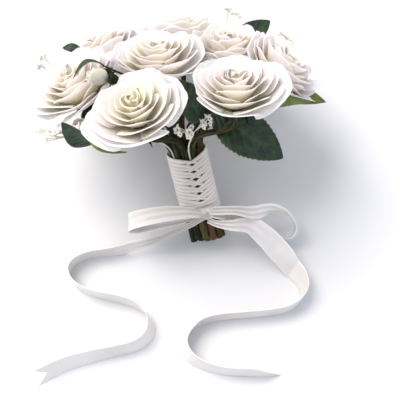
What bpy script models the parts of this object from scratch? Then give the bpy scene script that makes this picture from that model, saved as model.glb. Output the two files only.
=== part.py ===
# Rose bouquet, lying on its side: ten open roses and a bud on green stems, with rose leaves and
# small filler blossoms, bound by a tape, wrapped with ribbon and tied with a ribbon bow.
# The bunch is modelled upright, stems down, with its front towards -Y. Two empties then lay it
# down: "bunch" turns what is tied in the bundle, and "ground" centres the whole on the origin.
import math

import bpy
import numpy as np

MM = 0.001                      # one millimetre in metres
GAP = 0.3 * MM                  # air between touching pieces

# How the bunch lies: on the back edge of its cut stems and on its back roses.
LEAN = math.radians(41.0)       # the bunch's axis above the surface

# Bundle of stems: one in the middle, a ring of six, a ring of twelve.
STEM_RADIUS = 3.45 * MM
STEM_SIDES = 6
INNER_RING = 7.25 * MM
OUTER_RING = 14.3 * MM
BUNDLE_RADIUS = OUTER_RING + STEM_RADIUS
NECK = 98.0 * MM                # height where the stems begin to spread
TIP_STEM_RADIUS = 2.4 * MM      # a flower stem under its bloom
LEAF_STEM_RADIUS = 1.1 * MM     # a leaf's stalk at the blade
STALK_RING = 16.45 * MM         # filler stalks lie in the grooves between the outer stems
STALK_RADIUS = 0.8 * MM
STALK_BOTTOM = 62.0 * MM
STALK_RISE = 0.38               # how far a stem rises before it bends out, as a share of its reach

# Wrap, tape and bow: sleeves round the bundle, all with the same number of flats.
SLEEVE_SIDES = 20
SLEEVE_INNER = (BUNDLE_RADIUS + GAP) / math.cos(math.pi / SLEEVE_SIDES)
TAPE_BOTTOM, TAPE_TOP = 46.0 * MM, 92.0 * MM
TAPE_WALL = 0.5 * MM
WRAP_BOTTOM, WRAP_TOP = 43.8 * MM, 98.0 * MM
WRAP_WALL = 0.8 * MM
WRAP_BANDS = 7
WRAP_STEP = 0.9 * MM            # how far the lower edge of each turn stands over the next
WRAP_DIP = 4.0 * MM             # how far the turns dip towards the front
BAND_BOTTOM, BAND_TOP = 33.0 * MM, 43.4 * MM
BAND_WALL = 2.3 * MM
RIBBON_THICKNESS = 0.8 * MM

# Blooms.
FULL_BLOOM = 46.0 * MM          # radius of the bloom that the petals are drawn for
CROWN = 0.83                    # height of the crown over the seat, as a share of the radius
BLADE = 1.0 * MM                # thickness of a petal
CALYX_DEPTH = 11.0 * MM
SEPAL_THICKNESS = 0.8           # mm
PRESS_FROM = 0.35               # where a pressed bloom begins to give, as a share of the room it has

# Each rose: place of its crown (mm, in the upright bunch), way it faces (degrees round from the
# front, degrees from the axis), radius (mm), turn of its petals and how many petals it has.
ROSES = (
    ("rose_front_left", (-48, -92, 193), (-16, 29), 47, 10, "full"),
    ("rose_front_right", (49, -90, 188), (16, 18), 47, 200, "full"),
    ("rose_right", (119, -20, 169), (72, 52), 45, 75, "full"),
    ("rose_back_right", (104, 68, 150), (120, 64), 44, 140, "plain"),
    ("rose_back", (8, 122, 172), (176, 52), 44, 20, "plain"),
    ("rose_back_left", (-62, 74, 215), (-100, 16), 49, 265, "plain"),
    ("rose_left", (-95, -13, 211), (-60, 22), 49, 310, "full"),
    ("rose_top_front", (-5, -14, 216), (20, 12), 47, 120, "full"),
    ("rose_top_right", (68, 14, 198), (52, 16), 46, 35, "full"),
    ("rose_top_back", (32, 76, 212), (140, 12), 50, 80, "plain"),
)
# Place of each rose's stem in the bundle: ring and degrees round from the front.
ROSE_SLOTS = {
    "rose_front_left": ("outer", -15), "rose_front_right": ("outer", 15), "rose_right": ("outer", 75),
    "rose_back_right": ("outer", 135), "rose_back": ("outer", -165), "rose_back_left": ("outer", -105),
    "rose_left": ("outer", -75), "rose_top_front": ("middle", 0), "rose_top_right": ("inner", 60),
    "rose_top_back": ("inner", 180),
}
BUD_CROWN, BUD_FACE, BUD_SLOT = (-74, -50, 216), (-50, 16), ("outer", -45)
BUD_ROOM = 16.0 * MM            # room the roses leave round the bud
BUD_LENGTH, BUD_RADIUS = 26.0 * MM, 9.5 * MM

# Rings of petals from the outermost in. The spine gives (distance from the axis, height) from root
# to rim as shares of the bloom's radius; tuck is how far each petal stands out over the next one.
RINGS = {
    "full": (
        dict(count=5, turn=0, tuck=.12, spine=((.16, .04), (.54, .15), (.86, .36), (1.0, .45))),
        dict(count=4, turn=30, tuck=.12, spine=((.18, .13), (.50, .31), (.70, .54), (.80, .64))),
        dict(count=3, turn=85, tuck=.10, spine=((.16, .24), (.36, .50), (.50, .77))),
        dict(count=3, turn=20, tuck=.08, spine=((.12, .34), (.23, .60), (.31, .84))),
        dict(count=2, turn=60, tuck=.07, spine=((.07, .50), (.13, .82))),
    ),
    "plain": (
        dict(count=5, turn=0, tuck=.12, spine=((.16, .04), (.56, .16), (.88, .36), (1.0, .44))),
        dict(count=4, turn=30, tuck=.12, spine=((.18, .14), (.52, .38), (.72, .64))),
        dict(count=3, turn=20, tuck=.10, spine=((.14, .28), (.30, .56), (.41, .80))),
        dict(count=2, turn=60, tuck=.08, spine=((.08, .46), (.16, .80))),
    ),
}
PETAL_PLACES = (-0.46, -0.17, 0.17, 0.46)   # columns across a petal, as shares of its pitch
PETAL_DROP = 0.13               # how far a petal's corners are drawn down, as a share of the radius
PETAL_ROUND = 0.05              # and drawn in

# Leafy stems: place in the bundle, then each leaf's base, tip, way its upper side faces, width and
# arch (as a share of its length).
LEAFY_STEMS = (
    ("leaf_front_right", ("outer", 45), (((46, -33, 140), (81, -60, 84), (-.10, -.93, .36), 48, .08),)),
    ("leaf_right", ("outer", 105), (((94, 10, 115), (145, -7.5, 110.5), (.15, .80, .60), 34, .10),)),
    ("leaf_back", ("outer", 165), (((40, 64, 120), (58, 110, 124), (.20, .50, .80), 38, .10),)),
    ("leaf_back_left", ("outer", -135), (((-44, 60, 126), (-58, 112, 136), (-.30, .50, .80), 38, .10),)),
    ("leaf_front_left", ("inner", -60), (((-85, -33, 148), (-113, -49, 163), (-.35, -.85, -.35), 26, .10),
                                         ((-71, -47, 148), (-63, -76, 136), (.20, -.45, -.85), 16, .10))),
    ("leaf_middle", ("inner", 0), (((2, -40, 140), (-1, -66, 184), (.35, -.90, .25), 28, .10),)),
    ("leaf_top_right", ("inner", 120), (((82, 60, 182), (123, 72, 185), (.35, -.25, .90), 26, .10),)),
    ("leaf_top_left", ("inner", -120), (((-71, 31, 213), (-88, 39, 227), (-.30, -.60, .70), 15, .10),)),
)
BUD_LEAF = ((-57, -43, 211), (-89, -48, 213), (.0, -.10, .99), 11, .30)
LEAF_TEETH = 6
LEAF_THICKNESS = 0.75 * MM

# Filler sprays: place of the stalk in the bundle (degrees) and of each blossom.
FILLERS = (
    ("filler_front", 0, ((16, -50, 136), (-9, -52, 137), (1, -55, 133), (22, -52, 139))),
    ("filler_left", -60, ((-93, -28, 164), (-118, -29, 162), (-134, -23, 166), (-128, -31, 158))),
    ("filler_top_left", -90, ((-114, 44, 209), (-109, 46, 216))),
    ("filler_top_right", 150, ((87, 88, 201), (93, 83, 195))),
    ("filler_right", 90, ((131, 32, 168), (126, 35, 175))),
)
FLORET_RADIUS = 4.0 * MM
TWIG_RADIUS = 0.55 * MM

# Ribbon routes (mm) over the surface, from the stem foot: x, y, height of the middle line, width,
# and how far the ribbon stands up on its edge (0 lies flat, 90 stands). A height of 0 means that
# the lower edge rests on the surface.
TAIL_LEFT = (
    (-9, 7.5, 57, 9, 45), (-18, 6.2, 54.5, 10, 45), (-31, 7, 48, 12, 50), (-45, 9, 37, 15, 60),
    (-60, 12, 24, 20, 68), (-78, 16, 14, 24, 78), (-98, 18, 0, 24, 88), (-118, 21, 0, 24, 90),
    (-133, 19, 0, 24, 90), (-142, 12, 0, 24, 90), (-142, 0, 0, 24, 90), (-134, -12, 0, 24, 90),
    (-121, -22, 0, 24, 90), (-106, -31, 0, 24, 92), (-92, -41, 0, 24, 92), (-83, -52, 0, 24, 84),
    (-80, -66, 0, 24, 72), (-88, -78, 0, 24, 74), (-103, -83, 0, 24, 77), (-123, -82, 0, 24, 76),
    (-145, -80, 0, 24, 72), (-172, -79, 0, 24, 69), (-203, -84, 0, 24, 64),
)
TAIL_RIGHT = (
    (8.6, 1.0, 51.0, 7, 30), (22, -5.4, 52.0, 11, 26), (39, -10, 50, 17, 24), (51, -22, 40, 22, 26),
    (60, -34, 28, 24, 32), (68, -47, 17, 24, 42), (75, -62, 0, 24, 57), (76, -76, 0, 24, 72),
    (70, -86, 0, 24, 84), (55, -92, 0, 24, 90), (35, -90, 0, 24, 90), (12, -85, 0, 24, 90),
    (-12, -80, 0, 24, 90), (-31, -79, 0, 24, 88), (-46, -85, 0, 24, 80), (-55, -95, 0, 24, 74),
    (-54, -108, 0, 24, 74), (-45, -120, 0, 24, 80), (-28, -132, 0, 24, 84), (-8, -140, 0, 24, 86),
    (10, -146, 0, 24, 85), (27, -149, 0, 24, 84),
)
TAIL_CELLS = 38
NOTCH = 13.0 * MM               # depth of the swallow-tail cut
# Bow loops: x, y, height, width, and the turn of the width from the bow's own face to edge on.
LOOP_LEFT = (
    (-4.2, 12, 61, 9, 0), (-17, 15.2, 67, 13, 0), (-37, 20, 68, 17, 0), (-58, 24, 64, 19, 0),
    (-71, 27, 56, 20, 0), (-73, 28, 47, 20, 0), (-62, 27, 40, 20, 0), (-46, 24, 41, 18, 0),
    (-30, 19.2, 47, 15, 0), (-16, 14.8, 53.6, 11, 0), (-4.2, 12.6, 57.4, 9, 0),
)
LOOP_RIGHT = (
    (7.3, 11.4, 61.2, 9, 0), (28, 5.4, 61.6, 10, 0), (46, -1, 58, 13, 25), (65, -1, 51, 17, 62),
    (79, -6, 39, 20, 85), (85, -16, 26, 21, 90), (78, -23, 17, 21, 90), (63, -17, 18, 20, 80),
    (48, -9, 27, 16, 45), (33, 0, 39, 12, 10), (19, 6, 51, 10, 0), (7.3, 10.4, 56.6, 9, 0),
)
LOOP_CELLS = 20
BOW_FACE = (.30, .94, -.16)     # the ribbon's width across the bow's face
BOW_EDGE = (-.11, -.34, .93)    # and where a loop is seen edge on
KNOT_SIZE = (11.0 * MM, 6.4 * MM, 10.5 * MM)


# Small geometry helpers.

def unit(vector):
    vector = np.asarray(vector, float)
    return vector / np.linalg.norm(vector)


def facing(round_angle, tilt):
    """Direction that points round_angle degrees from the front and tilt degrees from the axis."""
    turn, lean = math.radians(round_angle), math.radians(tilt)
    return np.array((math.sin(turn) * math.sin(lean), -math.cos(turn) * math.sin(lean), math.cos(lean)))


def axes_along(direction):
    """Rows x, y and z of a frame whose z runs along direction."""
    third = unit(direction)
    helper = np.array((0.0, 0.0, 1.0)) if abs(third[2]) < 0.95 else np.array((0.0, 1.0, 0.0))
    first = unit(np.cross(helper, third))
    return np.array((first, np.cross(third, first), third))


def smooth_route(points, count):
    """Evenly spaced points on a smooth curve through the given ones; extra columns follow along."""
    knots = np.asarray(points, float)
    knots = np.vstack((2 * knots[0] - knots[1], knots, 2 * knots[-1] - knots[-2]))
    spans = len(knots) - 3
    place = np.linspace(0, spans, 30 * spans + 1)
    index = np.minimum(place.astype(int), spans - 1)
    f = (place - index)[:, None]
    a, b, c, d = (knots[index + k] for k in range(4))
    curve = 0.5 * (2 * b + (c - a) * f + (2 * a - 5 * b + 4 * c - d) * f ** 2
                   + (3 * b - a - 3 * c + d) * f ** 3)
    steps = np.linalg.norm(np.diff(curve[:, :3], axis=0), axis=1)
    length = np.concatenate(((0.0,), np.cumsum(steps)))
    wanted = np.linspace(0, length[-1], count)
    return np.stack([np.interp(wanted, length, column) for column in curve.T], axis=1)


def bend(start, start_way, end, end_way, count):
    """Points on a cubic that leaves start along start_way and reaches end along end_way."""
    t = np.linspace(0, 1, count)[:, None]
    near, far = start + start_way, end - end_way
    return ((1 - t) ** 3 * start + 3 * t * (1 - t) ** 2 * near + 3 * t * t * (1 - t) * far + t ** 3 * end)


def grid_normals(grid):
    """Unit normals of a grid of points, across its columns and up its rows."""
    normals = np.cross(np.gradient(grid, axis=1), np.gradient(grid, axis=0))
    return normals / np.linalg.norm(normals, axis=2, keepdims=True)


# Closed shapes, each given as (points, faces) with faces pointing out.

def blade(outer, inner):
    """A thin sheet between two grids, split into triangles alike on both faces."""
    rows, columns = outer.shape[:2]
    count = rows * columns
    faces = []
    for r in range(rows - 1):
        for c in range(columns - 1):
            a, b = r * columns + c, r * columns + c + 1
            d, e = a + columns, b + columns
            faces += [(a, b, e), (a, e, d), (count + e, count + b, count + a),
                      (count + d, count + e, count + a)]
    rim = ([c for c in range(columns)] + [r * columns + columns - 1 for r in range(1, rows)]
           + [(rows - 1) * columns + c for c in range(columns - 2, -1, -1)]
           + [r * columns for r in range(rows - 2, 0, -1)])
    for here, there in zip(rim, rim[1:] + rim[:1]):
        faces += [(there, here, count + here), (there, count + here, count + there)]
    return np.concatenate((outer.reshape(-1, 3), inner.reshape(-1, 3))), faces


def zip_loops(points, first, second):
    """Triangles between two closed loops of points round the axis, whatever their counts."""
    near = np.unwrap(np.arctan2(points[first, 1], points[first, 0]))
    far = np.unwrap(np.arctan2(points[second, 1], points[second, 0]))
    start = int(np.argmin(np.abs(np.angle(np.exp(1j * (far - near[0]))))))
    second = np.roll(second, -start)
    far = np.unwrap(np.roll(far, -start))
    far += 2 * math.pi * round((near[0] - far[0]) / (2 * math.pi))
    near, far = np.append(near, near[0] + 2 * math.pi), np.append(far, far[0] + 2 * math.pi)
    i = j = 0
    faces = []
    while i < len(first) or j < len(second):
        here, there = first[i % len(first)], second[j % len(second)]
        if j == len(second) or (i < len(first) and near[i + 1] <= far[j + 1]):
            faces.append((here, first[(i + 1) % len(first)], there))
            i += 1
        else:
            faces.append((here, second[(j + 1) % len(second)], there))
            j += 1
    return faces


def skin(base, loops, top):
    """A closed skin from a base point through closed loops to a top point.

    Each loop comes with a note that says how its strip to the next one is split: "up", "down"
    for the other diagonal, or "zip" where the counts differ."""
    points = np.concatenate([np.array([base])] + [loop for loop, _ in loops] + [np.array([top])])
    ends = np.cumsum([1] + [len(loop) for loop, _ in loops])
    indices = [np.arange(low, high) for low, high in zip(ends, ends[1:])]
    faces = [(b, a, 0) for a, b in zip(indices[0], np.roll(indices[0], -1))]
    for here, there, (_, split) in zip(indices, indices[1:], loops):
        if split == "zip":
            faces += zip_loops(points, here, there)
            continue
        for a, b, d, e in zip(here, np.roll(here, -1), there, np.roll(there, -1)):
            faces += [(a, b, e), (a, e, d)] if split == "up" else [(a, b, d), (b, e, d)]
    last = len(points) - 1
    faces += [(a, b, last) for a, b in zip(indices[-1], np.roll(indices[-1], -1))]
    return points, [tuple(int(k) for k in face) for face in faces]


def prism(near, far):
    """A solid between two outlines of the same number of points."""
    size = len(near)
    points = np.concatenate((near, far))
    faces = [tuple(range(size)), tuple(range(2 * size - 1, size - 1, -1))]
    faces += [((k + 1) % size, k, k + size, (k + 1) % size + size) for k in range(size)]
    towards = np.cross(points[1] - points[0], points[2] - points[1])
    if towards.dot(np.mean(far, axis=0) - np.mean(near, axis=0)) > 0:
        faces = [face[::-1] for face in faces]
    return points, faces


def tube(path, radii, sides):
    """A round stalk along a path, flat at both ends."""
    path = np.asarray(path, float)
    ways = np.gradient(path, axis=0)
    side = np.array((0.0, 1.0, 0.0)) if abs(unit(ways[0])[1]) < 0.9 else np.array((1.0, 0.0, 0.0))
    turns = 2 * math.pi * np.arange(sides) / sides
    rings = []
    for centre, way, radius in zip(path, ways, radii):
        way = unit(way)
        side = unit(side - way * side.dot(way))
        across = np.cross(way, side)
        rings.append(centre + radius * (np.outer(np.cos(turns), side) + np.outer(np.sin(turns), across)))
    faces = [tuple(range(sides))[::-1]]
    for r in range(len(path) - 1):
        for k in range(sides):
            low, next_low = r * sides + k, r * sides + (k + 1) % sides
            faces.append((low, next_low, next_low + sides, low + sides))
    last = (len(path) - 1) * sides
    faces.append(tuple(range(last, last + sides)))
    return np.concatenate(rings), faces


def lathe(profile, sides):
    """A solid turned from (radius, height) points that start and end on the axis."""
    turns = 2 * math.pi * np.arange(sides) / sides
    points = [(0.0, 0.0, profile[0][1])]
    for radius, height in profile[1:-1]:
        points += [(radius * math.cos(t), radius * math.sin(t), height) for t in turns]
    points.append((0.0, 0.0, profile[-1][1]))
    rings, top = len(profile) - 2, len(points) - 1
    faces = []
    for k in range(sides):
        after = (k + 1) % sides
        faces.append((0, 1 + after, 1 + k))
        for r in range(rings - 1):
            low = 1 + r * sides
            faces.append((low + k, low + after, low + sides + after, low + sides + k))
        high = 1 + (rings - 1) * sides
        faces.append((high + k, high + after, top))
    return np.array(points), faces


def sleeve(loop_points, sides):
    """A ring round the axis; loop_points(angle) gives the wall's closed section as (radius, height)."""
    points = []
    for k in range(sides):
        angle = 2 * math.pi * k / sides
        points += [(r * math.sin(angle), -r * math.cos(angle), z) for r, z in loop_points(angle)]
    size = len(points) // sides
    faces = []
    for k in range(sides):
        here, there = k * size, (k + 1) % sides * size
        for i in range(size):
            j = (i + 1) % size
            faces.append((here + i, there + i, there + j, here + j))
    return np.array(points), faces


def placed(shape, origin, axes):
    """The shape moved into a frame given by its origin and its rows of axes."""
    points, faces = shape
    return points @ axes + origin, faces


# Objects.

def material(name, colour, roughness, metallic=0.0):
    made = bpy.data.materials.new(name)
    made.use_nodes = True
    shader = made.node_tree.nodes["Principled BSDF"]
    shader.inputs["Base Color"].default_value = (*colour, 1.0)
    shader.inputs["Roughness"].default_value = roughness
    shader.inputs["Metallic"].default_value = metallic
    return made


def add_object(name, shape, finish):
    points, faces = shape
    mesh = bpy.data.meshes.new(name)
    mesh.from_pydata(np.asarray(points).tolist(), [], faces)
    mesh.materials.append(finish)
    made = bpy.data.objects.new(name, mesh)
    bpy.context.scene.collection.objects.link(made)
    return made


def combine(name, shapes, finish, operation="UNION", solver="MANIFOLD"):
    """Joins the shapes into the first with one Boolean on a collection, or cuts them from it."""
    first = add_object(name, shapes[0], finish)
    others = bpy.data.collections.new(name + "_others")
    bpy.context.scene.collection.children.link(others)
    for number, shape in enumerate(shapes[1:]):
        other = add_object("%s_%02d" % (name, number), shape, finish)
        bpy.context.scene.collection.objects.unlink(other)
        others.objects.link(other)
    step = first.modifiers.new("combine", "BOOLEAN")
    step.operation = operation
    step.solver = solver
    step.operand_type = "COLLECTION"
    step.collection = others
    bpy.context.view_layer.objects.active = first
    bpy.ops.object.modifier_apply(modifier=step.name)
    for other in list(others.objects):
        bpy.data.meshes.remove(other.data)
    bpy.data.collections.remove(others)
    return first


def mesh_points(mesh):
    points = np.empty(len(mesh.vertices) * 3)
    mesh.vertices.foreach_get("co", points)
    return points.reshape(-1, 3)


def set_points(mesh, points):
    mesh.vertices.foreach_set("co", np.asarray(points, np.float32).ravel())
    mesh.update()


# Blooms.

def petal_ring(ring, radius):
    """The outer and inner grids of a ring of petals, rows from root to rim: each petal leans out
    from its first edge to its last, which stands over the start of the next one."""
    spine = np.array(ring["spine"]) * radius
    up = np.linspace(0, 1, len(spine))[:, None]
    across = np.tile(PETAL_PLACES, ring["count"])[None, :]
    centres = np.repeat(np.arange(ring["count"]), len(PETAL_PLACES))[None, :]
    angle = math.radians(ring["turn"]) + 2 * math.pi * (centres + across) / ring["count"]
    edge = np.abs(across) / PETAL_PLACES[-1]
    lean = ring["tuck"] * radius * across * (0.3 + 0.7 * up)
    reach = spine[:, :1] * (1 - PETAL_ROUND * up * edge ** 2) + lean
    height = spine[:, 1:] - PETAL_DROP * radius * up * edge ** 2
    outer = np.stack((reach * np.cos(angle), reach * np.sin(angle), height), axis=2)
    wrapped = np.concatenate((outer[:, -1:], outer, outer[:, :1]), axis=1)
    return outer, outer - grid_normals(wrapped)[:, 1:-1] * BLADE


def ring_loops(outer, inner):
    """The loops of one ring of petals: up the outside, over the rim and down the inside."""
    loops = [(row, "up") for row in outer]
    return loops + [(row, "down") for row in inner[:0:-1]] + [(inner[0], "zip")]


def bloom_mesh(kind, finish):
    """A whole bloom at full size, seated on the origin and facing up: rings of petals nested in
    one another, each joined to the next at its root, round a closed heart."""
    loops = []
    for ring in RINGS[kind][:-1]:
        loops += ring_loops(*petal_ring(ring, FULL_BLOOM))
    heart, _ = petal_ring(RINGS[kind][-1], FULL_BLOOM)
    loops += [(row, "up") for row in heart]
    middle = np.array((0, 0, heart[-1, :, 2].min()))
    bloom = add_object("bloom_" + kind, skin(np.zeros(3), loops, middle), finish)
    mesh = bloom.data
    bpy.data.objects.remove(bloom)
    return mesh


def seat_of(crown, face, radius):
    """Where a bloom sits on its stem, from the place of its crown."""
    return np.array(crown, float) * MM - face * CROWN * radius


def press(points, centre, normal, wall):
    """Squeezes points towards centre so that none lies further than wall along normal: beyond
    PRESS_FROM of the wall the reach is drawn in, more the further out it is."""
    reach = (points - centre) @ normal
    far = reach.max()
    if far <= wall:
        return points
    start = PRESS_FROM * wall
    share = np.clip((reach - start) / (far - start), 0, None)
    steep = (far - start) / (wall - start)
    drawn = np.where(share > 0, start + (wall - start) * steep * share / (1 + (steep - 1) * share), reach)
    return points + np.outer(drawn - reach, normal)


def add_roses(finish):
    """Every rose, pressed flat where it meets its neighbours and the surface it lies on."""
    meshes = {kind: bloom_mesh(kind, finish) for kind in RINGS}
    blooms, rooms = [], [(np.array(BUD_CROWN) * MM - facing(*BUD_FACE) * 0.85 * BUD_LENGTH, BUD_ROOM)]
    for name, crown, (turn, tilt), radius, spin, kind in ROSES:
        face = facing(turn, tilt)
        seat = seat_of(crown, face, radius * MM)
        blooms.append((name, seat, face, radius * MM, spin, kind, seat + face * 0.42 * radius * MM))
        rooms.append((blooms[-1][-1], radius * MM))
    down = np.array((0.0, math.cos(LEAN), -math.sin(LEAN)))
    floor_reach = foot_reach() * math.cos(LEAN)
    made = []
    for name, seat, face, radius, spin, kind, centre in blooms:
        mesh = meshes[kind].copy()
        mesh.name = name
        cosine, sine = math.cos(math.radians(spin)), math.sin(math.radians(spin))
        turned = np.array(((cosine, sine, 0), (-sine, cosine, 0), (0, 0, 1.0)))
        points = mesh_points(mesh) * (radius / FULL_BLOOM) @ turned @ axes_along(face) + seat
        for _ in range(2):
            for other, other_radius in rooms:
                apart = np.linalg.norm(other - centre)
                if 0 < apart < radius + other_radius + 4 * GAP:
                    wall = apart * radius / (radius + other_radius) - GAP / 2
                    points = press(points, centre, (other - centre) / apart, wall)
            points = press(points, centre, down, floor_reach - centre @ down)
        set_points(mesh, points)
        rose = bpy.data.objects.new(name, mesh)
        bpy.context.scene.collection.objects.link(rose)
        made.append(rose)
    for mesh in meshes.values():
        bpy.data.meshes.remove(mesh)
    return made


def add_bud(finish):
    """The closed bud: three petals wrapped over a pointed heart."""
    face = facing(*BUD_FACE)
    seat = np.array(BUD_CROWN, float) * MM - face * BUD_LENGTH
    ring = dict(count=3, turn=0, tuck=.24, spine=((.42, .02), (1.0, .8), (1.02, 1.5), (.80, 2.2)))
    outer, inner = petal_ring(ring, BUD_RADIUS)
    loops = [(row, "up") for row in outer] + [(inner[3], "down"), (inner[2] * (.93, .93, 1), "up")]
    loops.append((inner[3] * (.72, .72, 1.0), "up"))
    shape = skin(np.zeros(3), loops, np.array((0, 0, BUD_LENGTH)))
    return add_object("rose_bud", placed(shape, seat, axes_along(face)), finish)


# Stems and leaves.

def slot(place):
    """Where a stem stands in the bundle, from its ring and degrees round from the front."""
    ring, degrees = place
    reach = {"middle": 0.0, "inner": INNER_RING, "outer": OUTER_RING}[ring]
    angle = math.radians(degrees)
    return np.array((reach * math.sin(angle), -reach * math.cos(angle), 0.0))


def foot_reach():
    """How far the bundle's foot reaches back, where its two rear stems touch the surface."""
    return OUTER_RING * math.cos(math.radians(15)) + STEM_RADIUS


def cut_height(place):
    """The stems are cut unevenly: those at the front end a little higher."""
    foot = slot(place)
    front = max(0.0, -foot[1]) / OUTER_RING
    return front * (3.0 + 2.0 * math.sin(foot[0] / MM)) * MM


def stem_path(place, end, end_way, pull, count=6):
    """A stem from its cut end straight up the bundle, then bending out to its bloom or leaf."""
    foot = slot(place)
    neck = foot + np.array((0, 0, NECK))
    reach = np.linalg.norm(end - neck)
    curve = bend(neck, np.array((0, 0, STALK_RISE * reach)), end, unit(end_way) * pull * reach, count)
    return np.vstack((foot + np.array((0, 0, cut_height(place))), curve))


def calyx(seat, face, tips):
    """The green cup under a bloom, whose rim runs out into five thin sepals.

    tips gives (distance from the axis, height) of the notch between sepals, their shoulder and
    their point."""
    notch, shoulder, point = (np.array(tip, float) for tip in tips)
    out, rise = unit(point - shoulder)
    under = np.array((rise, -out)) * SEPAL_THICKNESS
    notch_waist = notch - (1.0, 0.5)
    levels = (((2.6, -12), (2.6, -12), "up"), ((5.0, -7.5), (5.0, -7.5), "up"),
              (shoulder + under, notch_waist + under, "up"), (point + under, notch + under, "up"),
              (point, notch, "down"), (shoulder, notch_waist, "up"), ((4.6, -0.3), (4.6, -0.3), "up"))
    turns = math.pi * np.arange(10) / 5
    loops = []
    for at_sepal, at_notch, split in levels:
        reach, height = np.where(np.arange(10)[:, None] % 2 == 0, at_sepal, at_notch).T
        loops.append((np.stack((reach * np.cos(turns), reach * np.sin(turns), height), axis=1) * MM, split))
    shape = skin(np.array((0, 0, -13 * MM)), loops, np.array((0, 0, -GAP)))
    return placed(shape, seat, axes_along(face))


def add_flower_stem(name, place, seat, face, sepals, finish, side_leaf=None):
    end = seat - face * (CALYX_DEPTH - 2 * MM)
    path = stem_path(place, end, face, 0.33)
    radii = np.linspace(STEM_RADIUS, TIP_STEM_RADIUS, len(path) - 1)
    stalk = tube(path, np.concatenate(((STEM_RADIUS,), radii)), STEM_SIDES)
    shapes = [stalk, calyx(seat, face, sepals)]
    if side_leaf:
        shapes += stalked_leaf(path[4], *side_leaf)
    return combine(name, shapes, finish)


def leaf_midrib(base, tip, face, arch, t):
    """Points along a leaf's arched midrib, and the leaf's axes along, across and up."""
    base, tip = np.array(base, float) * MM, np.array(tip, float) * MM
    length = np.linalg.norm(tip - base)
    along = unit(tip - base)
    up = unit(np.array(face) - along * np.dot(face, along))
    rise = arch * length * np.sin(math.pi * t) - 0.05 * length * t ** 2
    return base + np.outer(length * t, along) + np.outer(rise, up), (along, np.cross(along, up), up)


def leaf(base, tip, face, width, arch):
    """A toothed leaf, folded a little along its midrib and arched along its length."""
    rows = 2 * LEAF_TEETH + 1
    t = np.linspace(0, 1, rows)
    midrib, (along, side, up) = leaf_midrib(base, tip, face, arch, t)
    length = np.linalg.norm(midrib[-1] - midrib[0])
    half = 0.5 * width * MM * np.sin(math.pi * t ** 0.82) ** 0.75
    half = np.maximum(half, np.linspace(1.5, 0.5, rows) * MM)
    tooth = np.where(np.arange(rows) % 2 == 1, 1.0, 0.86)
    tooth[0] = tooth[-1] = 1.0
    shift = np.where(tooth < 1, 0.0, 0.35 / rows) * np.sin(math.pi * t)
    columns = []
    for u in (-1, 0, 1):
        edge = abs(u)
        columns.append(midrib + np.outer(length * edge * shift, along)
                       + np.outer(u * half * tooth, side) + np.outer(0.22 * edge * half, up))
    outer = np.stack(columns, axis=1)
    return blade(outer, outer - grid_normals(outer) * LEAF_THICKNESS)


def stalked_leaf(start, base, tip, face, width, arch):
    """A leaf's blade and its stalk, which bends up from a point on a stem to the blade."""
    joint, (along, _, up) = leaf_midrib(base, tip, face, arch, np.array((0.12,)))
    end = joint[0] - up * 0.6 * LEAF_THICKNESS
    reach = np.linalg.norm(end - start)
    path = bend(start, np.array((0, 0, STALK_RISE * reach)), end, along * 0.25 * reach, 5)
    widths = np.linspace(min(0.6 * STEM_RADIUS, 0.03 * reach), LEAF_STEM_RADIUS, len(path))
    return [tube(path, widths, STEM_SIDES), leaf(base, tip, face, width, arch)]


def add_leafy_stem(name, place, leaves, finish):
    """A stem in the bundle with a stalk and a blade for each of its leaves."""
    foot = slot(place)
    path = foot + np.array(((0, 0, cut_height(place)), (0, 0, NECK), (0, 0, NECK + STEM_RADIUS)))
    stalk = tube(path, (STEM_RADIUS, STEM_RADIUS, 0.75 * STEM_RADIUS), STEM_SIDES)
    shapes = [stalk]
    for number, blade_numbers in enumerate(leaves):
        shapes += stalked_leaf(path[1] - np.array((0, 0, 2.3 * number * MM)), *blade_numbers)
    return combine(name, shapes, finish)


def blossom(fork, centre):
    """A tiny five-petalled blossom on its twig: a shallow star over a thin three-sided stalk."""
    reach = np.linalg.norm(centre - fork)
    thirds = 2 * math.pi * np.arange(3) / 3
    twig = np.stack((TWIG_RADIUS * np.cos(thirds), TWIG_RADIUS * np.sin(thirds), np.zeros(3)), 1)
    tenths = math.pi * np.arange(10) / 5
    star = np.where(np.arange(10) % 2 == 0, FLORET_RADIUS, 0.42 * FLORET_RADIUS)
    cup = np.where(np.arange(10) % 2 == 0, 0.8, 0.0) * MM
    rim = np.stack((star * np.cos(tenths), star * np.sin(tenths), reach + cup), 1)
    loops = [(twig, "up"), (twig + np.array((0, 0, reach - 1.8 * MM)), "zip"), (rim, "up")]
    shape = skin(np.array((0, 0, -0.3 * MM)), loops, np.array((0, 0, reach + 1.4 * MM)))
    return placed(shape, fork, axes_along(centre - fork))


def add_filler(name, degrees, blossoms, finish):
    """A thin stalk from a groove of the bundle that forks to its blossoms."""
    angle = math.radians(degrees)
    foot = np.array((STALK_RING * math.sin(angle), -STALK_RING * math.cos(angle), STALK_BOTTOM))
    neck = foot + np.array((0, 0, NECK - STALK_BOTTOM))
    blossoms = np.array(blossoms, float) * MM
    middle = blossoms.mean(axis=0)
    fork = neck + 0.80 * (middle - neck)
    reach = np.linalg.norm(fork - neck)
    path = np.vstack((foot, bend(neck, np.array((0, 0, 0.3 * reach)), fork, unit(middle - neck) * 0.3 * reach, 4)))
    shapes = [tube(path, [STALK_RADIUS] * len(path), 4)]
    shapes += [blossom(fork - (centre - fork) * 0.02, centre) for centre in blossoms]
    return combine(name, shapes, finish)


# Tape, wrap and ribbon.

def tape_section(angle):
    low, high = SLEEVE_INNER, SLEEVE_INNER + TAPE_WALL
    return ((low, TAPE_BOTTOM), (high, TAPE_BOTTOM), (high, TAPE_TOP), (low, TAPE_TOP))


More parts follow.
